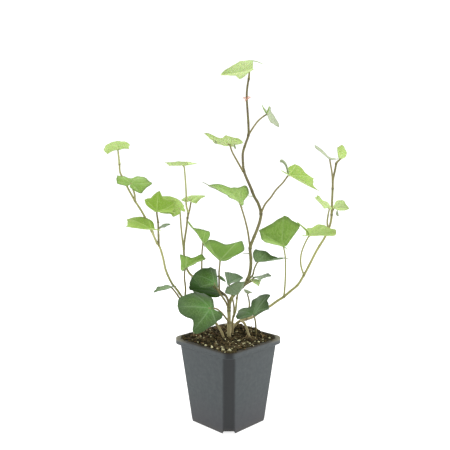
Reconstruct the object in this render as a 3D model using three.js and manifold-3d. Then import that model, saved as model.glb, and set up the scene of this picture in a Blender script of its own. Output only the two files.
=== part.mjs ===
import * as THREE from 'three';
import { mergeVertices } from 'three/addons/utils/BufferGeometryUtils.js';
import Module from 'manifold-3d';

// A young ivy in a square nursery pot. Millimetres, +Z up. The origin is the middle of the pot's underside.
// The pot stands with one corner towards -Y, which is the side that the plant is seen from.

// Pot
const POT_HEIGHT = 94.5;
const POT_TURN = 46; // degrees from the axes to the pot's sides
const BASE_SIDE = 66;
const WALL_TOP_SIDE = 85;
const RIM_SIDE = 89;
const RIM_CORNER_RADIUS = 11;
const RIM_DEPTH = 6.5;
const CHAMFER = 12.5; // width of the flat down each corner of the wall
const WALL = 1.5;
const CORNER_STEP = 3; // how far the corners stand off the surface that the pot rests on
const CORNER_STEP_REACH = 9; // how far the step reaches in from the chamfer
const DRAIN_RADIUS = 2.5;
const DRAIN_SIDES = 12;
const RIM_CORNER_STEPS = 4;

// Soil
const SOIL_LEVEL = 94;
const SOIL_RINGS = 8;
const SOIL_PARTS = 5; // divisions of each long side
const CRUMB_HEIGHT = 0.9;
const CRUMB_WAVES = { x: 0.83, y: 0.71, diagonal: 1.37, diagonalShare: 0.6 };
const HEAPS = [
  { x: 10, y: 32, rise: 5, spread: 13 },
  { x: 30, y: 20, rise: 4, spread: 11 },
  { x: -14, y: 20, rise: 1.5, spread: 16 },
  { x: 4, y: -44, rise: 1.5, spread: 12 },
];

// Clearance between pieces that touch
const GAP = 0.3;

// Stems and leaves
const STEM_SIDES = 6;
const STEM_STEP = 9;
const BRANCH_SHARE = 0.85; // a branch's radius against its stem's
const PETIOLE_SIDES = 5;
const PETIOLE_STEP = 8;
const PETIOLE_FOOT_RADIUS = 1.05;
const PETIOLE_TIP_RADIUS = 0.8;
const PETIOLE_REACH = 0.05; // how far a petiole runs in under the blade, in blade lengths
const BLADE_THICKNESS = 0.8;
const BLADE_RINGS = [0.5, 1];
const CREASE = 0.08; // softness of the fold along the midrib, in blade lengths

const COLOURS = {
  pot: { color: 0x62666a, roughness: 0.55 },
  soil: { color: 0x3d3226, roughness: 1 },
  stem: { color: 0x8a7f68, roughness: 0.8 },
  lime: { color: 0x9cc850, roughness: 0.5 },
  mid: { color: 0x6c9a3c, roughness: 0.5 },
  dark: { color: 0x3f6a38, roughness: 0.45 },
  glaucous: { color: 0x6b8c74, roughness: 0.5 },
};

// Angles from the midrib, in degrees, at which both edges of a blade are given. The tip is at 0, the
// lateral lobe near 50 and the basal lobe near 115.
const FORMS = {
  five: [0, 9, 20, 31, 41, 50, 60, 74, 88, 103, 118, 138, 160, 180],
  broad: [0, 10, 22, 34, 45, 56, 68, 82, 98, 114, 132, 152, 168, 180],
  three: [0, 9, 20, 31, 42, 53, 63, 74, 88, 104, 120, 140, 160, 180],
};

// Each stem's route from its foot in the soil to its tip. A branch starts on the route of its own stem.
const STEMS = [
  {
    name: 'stem_main',
    radii: [2.1, 1.1],
    route: [
      [1, 0, 72], [1, 0, 95], [1, 2, 116], [1, 4, 129], [4, 5, 138], [11, 6, 146], [19, 7, 154],
      [23, 7, 162], [25, 6, 173], [25, 3, 183], [24, -1, 195], [27, -5, 205], [31, -9, 216],
      [34, -12, 226], [35, -13, 234], [32, -13, 245], [28, -11, 252], [24, -8, 262], [20, -4, 271],
      [17, 0, 279], [16, 4, 288], [16, 8, 299], [19, 11, 309], [22, 12, 318], [22, 11, 329],
      [21, 9, 343], [20, 7, 356], [20, 6, 364], [21, 4, 373], [22, 3, 378],
    ],
    branches: [],
  },
  {
    name: 'stem_left_outer',
    radii: [1.4, 0.95],
    route: [
      [-4, -1, 74], [-5, -2, 94], [-12, 0, 108], [-21, 1, 116], [-31, 2, 125], [-42, 0, 134],
      [-51, -3, 141], [-56, -6, 149], [-61, -8, 156], [-65, -11, 165], [-68, -13, 174], [-70, -16, 186],
      [-73, -19, 198], [-76, -21, 204], [-80, -24, 214], [-84, -26, 224], [-87, -28, 231],
      [-91, -30, 239], [-94, -31, 244], [-97, -32, 249], [-101, -31, 256], [-105, -29, 263],
      [-108, -27, 270], [-113, -25, 278], [-114, -23, 287],
    ],
    branches: [[[-74, -20, 200], [-74, -22, 210], [-74, -24, 219], [-74, -25, 225]]],
  },
  {
    name: 'stem_left_inner',
    radii: [1.35, 1.1],
    parent: 'stem_main',
    route: [
      [1, 4, 132], [-3, 3, 141], [-10, 4, 146], [-18, 5, 152], [-26, 6, 156], [-34, 8, 159],
      [-41, 11, 162], [-46, 13, 168], [-49, 15, 179], [-50, 16, 190], [-49, 17, 202], [-47, 18, 215],
      [-46, 20, 225], [-45, 21, 232],
    ],
    branches: [],
  },
  {
    name: 'stem_right',
    radii: [1.7, 1.2],
    route: [
      [4, 17, 76], [4, 18, 97], [9, 23, 103], [14, 26, 106], [21, 30, 107], [28, 34, 108],
      [37, 39, 113], [49, 43, 119], [58, 45, 125], [66, 46, 130], [74, 46, 137], [82, 46, 144],
      [89, 45, 156], [95, 44, 168], [101, 43, 181], [105, 42, 189], [112, 41, 201], [117, 40, 213],
      [119, 39, 223], [119, 37, 235], [119, 35, 248], [119, 33, 260], [119, 32, 269], [121, 31, 280],
      [122, 31, 287],
    ],
    branches: [[[14, 26, 106], [17, 18, 107], [20, 10, 104], [22, 4, 99], [24, -1, 94], [25, -3, 78]]],
  },
  {
    name: 'stem_short',
    radii: [1.5, 1.0],
    route: [[5, 11, 76], [5, 12, 96], [5, 9, 112], [8, 3, 123], [9, -4, 133], [9.6, -10, 142]],
    branches: [],
  },
];

// Each leaf: the petiole's points from its foot to the blade, the blade's heading, pitch and roll in
// degrees, the angles of its outline and its length, the spread of its left and right halves, and how it is
// bent. Heading is measured from +X towards +Y, pitch lifts the tip and roll lifts the left half. Lean moves
// the tip to the left. The bends are in blade lengths. Left and right are the distances from the petiole to
// the edge at the outline's angles, in hundredths of the length.
const LEAVES = [
  {
    name: 'leaf_main_1', tone: 'dark', stem: 'stem_main',
    petiole: [[1, 1, 111], [-7, -12, 125], [-13, -21, 132], [-19, -32, 135]],
    aim: [-150, 13, -51],
    form: 'three', length: 45, spread: [0.9, 1.1], lean: 0.05,
    fold: -0.15, droop: 0, sag: 0.7, twist: 0.4,
    left: [88, 84, 68, 55, 56, 64, 66, 58, 47, 42, 37, 38, 32, 10],
    right: [88, 87, 72, 62, 56, 52, 54, 51, 48, 53, 45, 20, 14, 6],
  },
  {
    name: 'leaf_main_2', tone: 'dark', stem: 'stem_main',
    petiole: [[1, 4, 124], [-4, 8, 135], [-9, 13, 141]],
    aim: [137, 16, 21],
    form: 'broad', length: 38, spread: [1.1, 0.9], lean: 0.15,
    fold: -0.1, droop: 0, sag: 0.2, twist: 0.15,
    left: [112, 99, 91, 86, 86, 85, 64, 56, 52, 48, 41, 20, 12, 5],
    right: [112, 125, 115, 102, 86, 73, 52, 41, 35, 32, 27, 24, 18, 7],
  },
  {
    name: 'leaf_main_3', tone: 'dark', stem: 'stem_main',
    petiole: [[1, 4, 128], [-7, -9, 143], [-12, -16, 153], [-15, -19, 159]],
    aim: [101, 55, 43],
    form: 'broad', length: 23, spread: [1.3, 1.3], lean: 0,
    fold: -0.1, droop: 0.15, sag: 0.65, twist: 0.25,
    left: [91, 83, 84, 80, 77, 73, 69, 60, 56, 58, 42, 19, 10, 5],
    right: [91, 88, 98, 84, 82, 73, 56, 45, 35, 32, 26, 19, 13, 6],
  },
  {
    name: 'leaf_main_4', tone: 'mid', stem: 'stem_main',
    petiole: [[16, 6, 150], [20, -3, 155], [26, -10, 160]],
    aim: [-45, -21, -14],
    form: 'broad', length: 11, spread: [0.95, 0.95], lean: 0.05,
    fold: 0.4, droop: 0.05, sag: -0.05, twist: -0.3,
    left: [100, 88, 81, 77, 79, 83, 73, 62, 62, 48, 36, 27, 17, 6],
    right: [100, 72, 72, 84, 77, 66, 58, 49, 37, 32, 26, 24, 17, 6],
  },
  {
    name: 'leaf_main_5', tone: 'glaucous', stem: 'stem_main',
    petiole: [[19, 7, 154], [24, 1, 158], [29, -4, 163]],
    aim: [-19, 5, -7],
    form: 'broad', length: 20, spread: [1.05, 1.05], lean: 0,
    fold: 0.05, droop: -0.05, sag: -0.05, twist: -0.35,
    left: [94, 91, 81, 80, 68, 45, 41, 37, 35, 38, 36, 26, 16, 6],
    right: [94, 83, 79, 80, 86, 115, 67, 37, 42, 32, 26, 19, 14, 6],
  },
  {
    name: 'leaf_main_6', tone: 'dark', stem: 'stem_main',
    petiole: [[22, 7, 158], [27, 6, 163], [29, 4, 171], [33, 0, 180]],
    aim: [3, -1, 16],
    form: 'broad', length: 23, spread: [1.05, 1], lean: 0.15,
    fold: 0.45, droop: -0.1, sag: 0, twist: 0.3,
    left: [100, 88, 77, 75, 75, 76, 69, 64, 65, 53, 34, 20, 16, 6],
    right: [100, 120, 117, 93, 95, 97, 88, 68, 46, 32, 26, 19, 15, 6],
  },
  {
    name: 'leaf_main_7', tone: 'mid', stem: 'stem_main',
    petiole: [[24, -1, 195], [23, -5, 202], [21, -10, 215], [17, -18, 231], [12, -25, 247]],
    aim: [-176, 58, -21],
    form: 'three', length: 33, spread: [1.05, 1.1], lean: -0.1,
    fold: 0.25, droop: 0.7, sag: -0.1, twist: 0.4,
    left: [100, 84, 74, 65, 59, 62, 64, 42, 34, 27, 24, 22, 17, 7],
    right: [100, 84, 56, 55, 54, 60, 68, 65, 57, 27, 24, 20, 13, 6],
  },
  {
    name: 'leaf_main_8', tone: 'lime', stem: 'stem_main',
    petiole: [
      [35, -13, 234], [39, -16, 244], [45, -20, 252], [50, -24, 260], [57, -28, 268], [63, -30, 276],
    ],
    aim: [-35, -29, 1],
    form: 'five', length: 35, spread: [1.2, 1.05], lean: 0.2,
    fold: 0.35, droop: -0.05, sag: 0.05, twist: 0.35,
    left: [94, 76, 70, 69, 68, 71, 60, 53, 53, 55, 54, 33, 18, 5],
    right: [94, 107, 81, 65, 55, 64, 60, 46, 43, 40, 31, 25, 21, 8],
  },
  {
    name: 'leaf_main_9', tone: 'lime', stem: 'stem_main',
    petiole: [[16, 0, 279], [13, -3, 284], [9, -7, 291], [4, -14, 300], [1, -18, 308]],
    aim: [-152, 12, 10],
    form: 'five', length: 29, spread: [1.05, 1.05], lean: 0.05,
    fold: 0.1, droop: -0.1, sag: 0, twist: 0.05,
    left: [109, 99, 59, 55, 64, 80, 66, 53, 58, 57, 56, 47, 24, 7],
    right: [109, 81, 72, 61, 60, 59, 60, 58, 55, 54, 31, 37, 33, 11],
  },
  {
    name: 'leaf_main_10', tone: 'lime', stem: 'stem_main',
    petiole: [[22, 12, 318], [27, 16, 326], [34, 22, 335], [44, 30, 342]],
    aim: [38, -37, 47],
    form: 'three', length: 22, spread: [1.1, 1.05], lean: -0.05,
    fold: -0.05, droop: 0, sag: -0.05, twist: -0.4,
    left: [100, 92, 70, 65, 63, 62, 64, 82, 35, 38, 48, 26, 14, 6],
    right: [100, 76, 60, 53, 48, 46, 39, 40, 44, 29, 24, 20, 15, 5],
  },
  {
    name: 'leaf_main_11', tone: 'lime', stem: 'stem_main',
    petiole: [[22, 3, 378], [22, 0, 386]],
    aim: [174, -14, -27],
    form: 'three', length: 32, spread: [1.2, 1.3], lean: -0.05,
    fold: 0.7, droop: -0.1, sag: 0.65, twist: 0.15,
    left: [94, 94, 76, 68, 63, 66, 72, 65, 53, 47, 29, 21, 16, 6],
    right: [94, 79, 64, 58, 53, 52, 52, 47, 46, 42, 37, 20, 13, 5],
  },
  {
    name: 'leaf_inner_1', tone: 'mid', stem: 'stem_left_inner',
    petiole: [[-10, 4, 144], [-10, 1, 154], [-10, -7, 169], [-9, -14, 184]],
    aim: [123, 18, 9],
    form: 'three', length: 42, spread: [1.3, 1.25], lean: -0.2,
    fold: 0.7, droop: -0.1, sag: 0, twist: -0.2,
    left: [97, 84, 66, 50, 43, 46, 46, 46, 46, 42, 37, 30, 18, 6],
    right: [97, 84, 66, 58, 58, 62, 64, 58, 52, 47, 26, 20, 13, 5],
  },
  {
    name: 'leaf_inner_2', tone: 'mid', stem: 'stem_left_inner',
    petiole: [[-30, 8, 156], [-30, 18, 170], [-30, 27, 186], [-29, 30, 196]],
    aim: [-146, 63, -43],
    form: 'three', length: 24, spread: [1, 1.25], lean: 0,
    fold: 0.45, droop: 0.2, sag: 0.05, twist: -0.05,
    left: [100, 49, 46, 47, 56, 66, 64, 47, 29, 28, 26, 22, 18, 7],
    right: [100, 79, 70, 63, 61, 60, 62, 64, 56, 36, 24, 20, 13, 5],
  },
  {
    name: 'leaf_inner_3', tone: 'lime', stem: 'stem_left_inner',
    petiole: [[-50, 15, 191], [-51, 9, 203], [-52, 3, 219], [-53, -2, 238]],
    aim: [149, 36, -4],
    form: 'broad', length: 26, spread: [1.1, 1], lean: 0.05,
    fold: 0.05, droop: 0.1, sag: 0.5, twist: 0.35,
    left: [103, 91, 81, 77, 75, 78, 71, 64, 53, 60, 40, 19, 10, 5],
    right: [103, 93, 84, 80, 84, 104, 71, 37, 35, 32, 26, 20, 14, 6],
  },
  {
    name: 'leaf_inner_4', tone: 'lime', stem: 'stem_left_inner',
    petiole: [[-46, 20, 226], [-44, 27, 234], [-42, 30, 245]],
    aim: [50, 24, 3],
    form: 'five', length: 20, spread: [1.1, 1.1], lean: -0.15,
    fold: 0.55, droop: 0.1, sag: 0.6, twist: 0.2,
    left: [73, 71, 63, 59, 60, 55, 55, 58, 53, 50, 56, 46, 33, 10],
    right: [73, 65, 59, 59, 66, 78, 70, 58, 55, 57, 64, 39, 19, 6],
  },
  {
    name: 'leaf_inner_5', tone: 'lime', stem: 'stem_left_inner',
    petiole: [[-45, 21, 232], [-47, 19, 240], [-47, 18, 252], [-48, 20, 269], [-50, 22, 285]],
    aim: [145, -3, 4],
    form: 'five', length: 30, spread: [0.85, 1.05], lean: 0,
    fold: 0.15, droop: -0.05, sag: -0.15, twist: 0.1,
    left: [76, 55, 66, 65, 68, 76, 68, 61, 55, 54, 54, 55, 32, 8],
    right: [76, 78, 81, 71, 72, 73, 64, 56, 50, 50, 54, 28, 19, 7],
  },
  {
    name: 'leaf_outer_1', tone: 'dark', stem: 'stem_left_outer',
    petiole: [[-42, 0, 134], [-52, -7, 139], [-57, -11, 147], [-62, -14, 154]],
    aim: [-154, -5, 8],
    form: 'broad', length: 20, spread: [1.15, 1.2], lean: -0.1,
    fold: 0.15, droop: 0.15, sag: 0.05, twist: 0.1,
    left: [97, 88, 84, 82, 82, 83, 77, 47, 42, 38, 29, 19, 14, 6],
    right: [97, 91, 77, 75, 72, 64, 54, 58, 53, 32, 26, 19, 14, 6],
  },
  {
    name: 'leaf_outer_2', tone: 'mid', stem: 'stem_left_outer',
    petiole: [[-48, -2, 138], [-47, -4, 150], [-48, -6, 164], [-47, -8, 173]],
    aim: [12, 38, 6],
    form: 'three', length: 28, spread: [1.05, 0.95], lean: 0.05,
    fold: 0.4, droop: 0.25, sag: 0, twist: -0.35,
    left: [88, 89, 62, 53, 56, 60, 64, 76, 41, 29, 24, 20, 13, 6],
    right: [88, 87, 84, 58, 61, 54, 52, 51, 42, 35, 26, 21, 15, 6],
  },
  {
    name: 'leaf_outer_3', tone: 'mid', stem: 'stem_left_outer',
    petiole: [[-76, -21, 203], [-77, -34, 211], [-78.4, -42.8, 220.5]],
    aim: [-136, 4, -15],
    form: 'broad', length: 30.5, spread: [1, 1.2], lean: -0.1,
    fold: 0.4, droop: -0.1, sag: 0.15, twist: -0.35,
    left: [100, 51, 46, 48, 52, 62, 54, 56, 38, 35, 29, 24, 17, 6],
    right: [100, 85, 81, 77, 79, 76, 71, 64, 58, 52, 42, 21, 14, 6],
  },
  {
    name: 'leaf_outer_4', tone: 'glaucous', stem: 'stem_left_outer',
    petiole: [[-74, -24, 219], [-71, -26, 221]],
    aim: [6, 19, 1],
    form: 'five', length: 11, spread: [1.25, 1.1], lean: -0.05,
    fold: 0.1, droop: 0, sag: 0.1, twist: -0.4,
    left: [97, 81, 68, 63, 62, 64, 68, 84, 47, 33, 35, 26, 21, 8],
    right: [97, 91, 72, 69, 68, 66, 72, 65, 58, 52, 38, 25, 20, 7],
  },
  {
    name: 'leaf_outer_5', tone: 'lime', stem: 'stem_left_outer',
    petiole: [[-74, -24, 225], [-75, -25, 238]],
    aim: [43, 1, 25],
    form: 'five', length: 26, spread: [1.15, 1.05], lean: 0.2,
    fold: 0.5, droop: -0.05, sag: 0, twist: -0.4,
    left: [106, 89, 70, 61, 68, 78, 72, 60, 52, 55, 60, 44, 17, 7],
    right: [106, 91, 74, 65, 70, 78, 70, 58, 55, 57, 54, 43, 26, 8],
  },
  {
    name: 'leaf_outer_6', tone: 'mid', stem: 'stem_left_outer',
    petiole: [[-97, -32, 249], [-97, -35, 257], [-100, -38, 267]],
    aim: [66, 28, 22],
    form: 'broad', length: 24, spread: [1.2, 1.1], lean: -0.05,
    fold: 0, droop: 0.2, sag: 0, twist: 0.3,
    left: [85, 85, 46, 46, 63, 71, 73, 60, 55, 52, 53, 32, 22, 7],
    right: [85, 85, 79, 75, 75, 85, 77, 64, 62, 63, 45, 28, 20, 7],
  },
  {
    name: 'leaf_outer_7', tone: 'lime', stem: 'stem_left_outer',
    petiole: [[-114, -23, 287], [-115, -21, 295], [-116, -20, 303]],
    aim: [110, 25, -13],
    form: 'broad', length: 19, spread: [1.1, 1.1], lean: 0,
    fold: 0.35, droop: 0.05, sag: 0.6, twist: 0,
    left: [109, 99, 91, 93, 84, 83, 71, 64, 62, 62, 26, 19, 12, 5],
    right: [109, 96, 81, 84, 84, 80, 71, 60, 56, 57, 30, 19, 10, 5],
  },
  {
    name: 'leaf_right_1', tone: 'mid', stem: 'stem_right',
    petiole: [[21, 30, 107], [24, 26, 120], [24, 22, 130], [22, 20, 140]],
    aim: [37, 2, 16],
    form: 'five', length: 8, spread: [1.15, 1.1], lean: -0.1,
    fold: 0.5, droop: 0, sag: 0.05, twist: 0.4,
    left: [100, 86, 66, 63, 64, 66, 66, 56, 57, 59, 64, 47, 27, 8],
    right: [100, 86, 72, 69, 80, 83, 41, 34, 37, 45, 52, 47, 29, 8],
  },
  {
    name: 'leaf_right_2', tone: 'mid', stem: 'stem_right',
    petiole: [[66, 46, 130], [67, 44, 147], [67, 41, 165], [66, 38, 181], [63, 35, 193]],
    aim: [-173, 29, -39],
    form: 'broad', length: 31, spread: [1.25, 1.25], lean: -0.3,
    fold: 0.75, droop: 0.35, sag: -0.1, twist: -0.05,
    left: [100, 83, 86, 95, 113, 112, 88, 64, 47, 35, 27, 20, 14, 6],
    right: [100, 88, 77, 75, 75, 76, 69, 64, 64, 68, 29, 19, 13, 5],
  },
  {
    name: 'leaf_right_3', tone: 'lime', stem: 'stem_right',
    petiole: [[89, 45, 156], [85, 41, 168], [84, 35, 180], [86, 28, 192], [92, 22, 206]],
    aim: [-25, 4, 10],
    form: 'broad', length: 31, spread: [1, 1.05], lean: 0.2,
    fold: 0.35, droop: 0.05, sag: 0.1, twist: -0.05,
    left: [94, 93, 81, 73, 72, 76, 73, 74, 51, 57, 32, 19, 12, 5],
    right: [94, 93, 77, 70, 70, 71, 69, 47, 42, 38, 32, 26, 15, 6],
  },
  {
    name: 'leaf_right_4', tone: 'lime', stem: 'stem_right',
    petiole: [[116, 40, 210], [114, 36, 219], [113, 24, 230], [112, 12, 238]],
    aim: [168, 32, -5],
    form: 'three', length: 21, spread: [0.95, 1.35], lean: -0.1,
    fold: 0.25, droop: -0.05, sag: 0.35, twist: 0.35,
    left: [88, 97, 66, 62, 58, 60, 64, 71, 32, 27, 24, 21, 17, 7],
    right: [88, 89, 66, 52, 53, 54, 64, 53, 29, 27, 24, 20, 13, 7],
  },
  {
    name: 'leaf_right_5', tone: 'lime', stem: 'stem_right',
    petiole: [[119, 38, 228], [121, 41, 233], [123, 42, 236]],
    aim: [-28, -1, 17],
    form: 'broad', length: 16, spread: [1.05, 1.05], lean: 0.2,
    fold: 0.3, droop: 0.2, sag: -0.15, twist: -0.4,
    left: [103, 88, 77, 75, 77, 73, 67, 68, 67, 34, 26, 20, 12, 5],
    right: [103, 88, 79, 73, 75, 73, 67, 45, 35, 32, 26, 24, 17, 6],
  },
  {
    name: 'leaf_right_6', tone: 'lime', stem: 'stem_right',
    petiole: [[119, 33, 259], [117, 26, 274], [114, 19, 285], [112, 14, 292]],
    aim: [86, 5, 17],
    form: 'three', length: 28, spread: [1.25, 0.85], lean: -0.05,
    fold: 0.6, droop: -0.05, sag: 0.3, twist: -0.3,
    left: [94, 87, 62, 55, 56, 68, 64, 56, 50, 38, 24, 21, 15, 6],
    right: [94, 64, 58, 48, 43, 38, 39, 40, 38, 38, 29, 21, 13, 5],
  },
  {
    name: 'leaf_right_7', tone: 'lime', stem: 'stem_right',
    petiole: [[122, 32, 287], [127, 34, 292]],
    aim: [51, 9, -58],
    form: 'broad', length: 16, spread: [0.95, 1.2], lean: -0.2,
    fold: 0.55, droop: 0, sag: -0.1, twist: -0.25,
    left: [79, 67, 96, 93, 77, 45, 41, 39, 37, 35, 29, 20, 15, 6],
    right: [79, 85, 77, 73, 72, 76, 75, 68, 64, 65, 48, 30, 16, 5],
  },
  {
    name: 'leaf_short_1', tone: 'glaucous', stem: 'stem_short',
    petiole: [[6.2, 6.5, 117], [6.5, 14, 126], [3, 25, 141], [1, 22, 150]],
    aim: [-35, 50, 39],
    form: 'broad', length: 17, spread: [1.15, 0.9], lean: 0.1,
    fold: 0.4, droop: 0.65, sag: -0.1, twist: -0.35,
    left: [94, 88, 81, 73, 72, 71, 71, 81, 56, 37, 26, 20, 15, 6],
    right: [94, 88, 86, 91, 45, 45, 48, 47, 35, 32, 27, 26, 18, 7],
  },
  {
    name: 'leaf_short_2', tone: 'glaucous', stem: 'stem_short',
    petiole: [[9.5, -9.4, 141], [10.2, -18.0, 147.7]],
    aim: [52, 35, -17],
    form: 'broad', length: 17.6, spread: [1.3, 1.15], lean: 0.05,
    fold: 0.65, droop: -0.1, sag: 0.15, twist: 0.2,
    left: [97, 93, 88, 84, 82, 76, 73, 66, 60, 57, 37, 19, 11, 5],
    right: [97, 88, 81, 75, 68, 64, 67, 64, 49, 40, 26, 19, 14, 6],
  },
  {
    name: 'leaf_rooted', tone: 'dark', stem: 'soil',
    petiole: [[32, 14, 89], [31, 5, 106], [30, -2, 114], [28, -4, 122]],
    aim: [78, 18, -28],
    form: 'five', length: 32, spread: [1.1, 1.2], lean: 0,
    fold: 0.65, droop: -0.1, sag: 0.55, twist: 0.25,
    left: [97, 86, 50, 57, 74, 83, 70, 61, 58, 54, 54, 43, 16, 8],
    right: [97, 86, 74, 71, 72, 73, 74, 56, 57, 59, 69, 43, 27, 9],
  },
];

const wasm = await Module();
wasm.setup();

const UP = new THREE.Vector3(0, 0, 1);
const radians = THREE.MathUtils.degToRad;
const vector = ([x, y, z]) => new THREE.Vector3(x, y, z);
const routeOf = (points) => new THREE.CatmullRomCurve3(points.map(vector), false, 'centripetal');

// Turns a closed geometry into a solid that can be joined and cut.
function solid(geometry) {
  const bare = geometry.clone();
  bare.deleteAttribute('normal');
  bare.deleteAttribute('uv');
  const merged = mergeVertices(bare, 1e-4);
  return new wasm.Manifold(new wasm.Mesh({
    numProp: 3,
    vertProperties: new Float32Array(merged.attributes.position.array),
    triVerts: new Uint32Array(merged.index.array),
  }));
}

// A finished solid as a named mesh in one of the colours.
function piece(name, tone, body) {
  const { vertProperties, triVerts } = body.getMesh();
  const geometry = new THREE.BufferGeometry();
  geometry.setAttribute('position', new THREE.BufferAttribute(vertProperties, 3));
  geometry.setIndex(new THREE.BufferAttribute(triVerts, 1));
  geometry.computeVertexNormals();
  const mesh = new THREE.Mesh(geometry, new THREE.MeshStandardMaterial({ ...COLOURS[tone], metalness: 0 }));
  mesh.name = name;
  return mesh;
}

// A closed skin over rings of points, each ring counter-clockwise about the way that the rings advance.
function loft(rings) {
  const count = rings[0].length;
  const index = [];
  for (let ring = 0; ring + 1 < rings.length; ring += 1) {
    for (let i = 0; i < count; i += 1) {
      const a = ring * count + i;
      const b = ring * count + ((i + 1) % count);
      index.push(a, b, b + count, a, b + count, a + count);
    }
  }
  const last = (rings.length - 1) * count;
  for (let i = 1; i + 1 < count; i += 1) {
    index.push(0, i + 1, i, last, last + i, last + i + 1);
  }
  const geometry = new THREE.BufferGeometry().setFromPoints(rings.flat());
  geometry.setIndex(index);
  return solid(geometry);
}

// A round rod along a route, tapering between two radii. Grown makes it fatter and longer, for clearance.
function rod(curve, [footRadius, tipRadius], sides, step, grown = 0) {
  const steps = Math.max(2, Math.round(curve.getLength() / step));
  const frames = curve.computeFrenetFrames(steps);
  const rings = [];
  for (let i = 0; i <= steps; i += 1) {
    const centre = curve.getPointAt(i / steps);
    if (i === 0) centre.addScaledVector(frames.tangents[i], -grown);
    if (i === steps) centre.addScaledVector(frames.tangents[i], grown);
    const radius = THREE.MathUtils.lerp(footRadius, tipRadius, i / steps) + grown;
    const ring = [];
    for (let side = 0; side < sides; side += 1) {
      const turn = (side / sides) * 2 * Math.PI;
      ring.push(centre.clone()
        .addScaledVector(frames.normals[i], Math.cos(turn) * radius)
        .addScaledVector(frames.binormals[i], Math.sin(turn) * radius));
    }
    rings.push(ring);
  }
  return loft(rings);
}

// The wall's outline at a height: a square with its corners cut to flats. Inset moves every side inwards,
// scale shrinks the outline towards the axis, and parts divides each long side.
function wallSection(z, { inset = 0, scale = 1, parts = 1 } = {}) {
  const side = THREE.MathUtils.lerp(BASE_SIDE, WALL_TOP_SIDE, z / POT_HEIGHT);
  const half = side / 2 - inset;
  const cut = CHAMFER / Math.SQRT2 - inset * (2 - Math.SQRT2);
  const ring = [];
  for (let quarter = 0; quarter < 4; quarter += 1) {
    const turn = radians(POT_TURN + quarter * 90);
    for (let part = 0; part <= parts; part += 1) {
      const across = THREE.MathUtils.lerp(cut - half, half - cut, part / parts);
      const point = new THREE.Vector3(half, across, 0).multiplyScalar(scale).applyAxisAngle(UP, turn);
      ring.push(point.setZ(z));
    }
  }
  return ring;
}

// A square prism with round corners, turned as the pot is.
function roundedPrism(side, radius, bottom, top) {
  const half = side / 2;
  const middle = half - radius;
  const outline = new THREE.Shape();
  for (let quarter = 0; quarter < 4; quarter += 1) {
    const start = radians(quarter * 90);
    const centre = new THREE.Vector2(middle, middle).rotateAround(new THREE.Vector2(), start);
    outline.absarc(centre.x, centre.y, radius, start, start + Math.PI / 2, false);
  }
  outline.closePath();
  const prism = new THREE.ExtrudeGeometry(outline, {
    depth: top - bottom,
    bevelEnabled: false,
    curveSegments: RIM_CORNER_STEPS,
  });
  return solid(prism.rotateZ(radians(POT_TURN)).translate(0, 0, bottom));
}

// A block at each of the pot's four corners, under the chamfer, standing from below the pot to a height.
function cornerBlocks(width, reach, top) {
  const chamferDistance = (BASE_SIDE - CHAMFER / Math.SQRT2) / Math.SQRT2;
  const depth = reach + CHAMFER;
  const blocks = [0, 1, 2, 3].map((corner) => {
    const block = new THREE.BoxGeometry(depth, width, 2 * top);
    block.translate(chamferDistance - reach + depth / 2, 0, 0);
    return solid(block.rotateZ(radians(POT_TURN + 45 + corner * 90)));
  });
  return blocks.reduce((all, block) => all.add(block));
}

// One round drain hole through the raised floor at each corner.
function drains() {
  const distance = (BASE_SIDE - CHAMFER / Math.SQRT2) / Math.SQRT2 - CORNER_STEP_REACH / 2 - WALL / 2;
  const holes = [0, 1, 2, 3].map((corner) => {
    const hole = new THREE.CylinderGeometry(DRAIN_RADIUS, DRAIN_RADIUS, 4 * CORNER_STEP, DRAIN_SIDES);
    hole.rotateX(Math.PI / 2).translate(distance, 0, 0);
    return solid(hole.rotateZ(radians(POT_TURN + 45 + corner * 90)));
  });
  return holes.reduce((all, hole) => all.add(hole));
}

function buildPot() {
  const rimBottom = POT_HEIGHT - RIM_DEPTH;
  const wall = loft([wallSection(0), wallSection(POT_HEIGHT)]);
  const rim = roundedPrism(RIM_SIDE, RIM_CORNER_RADIUS, rimBottom, POT_HEIGHT);
  const lipSide = RIM_SIDE - 2 * WALL;
  const underRim = roundedPrism(lipSide, RIM_CORNER_RADIUS - WALL, rimBottom - 1, POT_HEIGHT - WALL);
  const inside = loft([
    wallSection(WALL, { inset: WALL }),
    wallSection(POT_HEIGHT + 1, { inset: WALL }),
  ]);
  const raisedFloor = cornerBlocks(CHAMFER + 2 * WALL, CORNER_STEP_REACH + WALL, CORNER_STEP + WALL);
  return wall
    .add(rim.subtract(underRim))
    .subtract(inside.subtract(raisedFloor))
    .subtract(cornerBlocks(CHAMFER, CORNER_STEP_REACH, CORNER_STEP))
    .subtract(drains());
}

// Height of the soil's surface: level at the rim, with low heaps and crumbs.
function soilHeight(x, y) {
  const heaped = HEAPS.reduce((sum, heap) => {
    const distance = Math.hypot(x - heap.x, y - heap.y) / heap.spread;
    return sum + heap.rise * Math.exp(-distance * distance);
  }, 0);
  const ripple = Math.sin(x * CRUMB_WAVES.x) * Math.cos(y * CRUMB_WAVES.y);
  const crumbs = ripple + CRUMB_WAVES.diagonalShare * Math.sin((x + y) * CRUMB_WAVES.diagonal);
  return SOIL_LEVEL + heaped + CRUMB_HEIGHT * crumbs;
}

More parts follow.
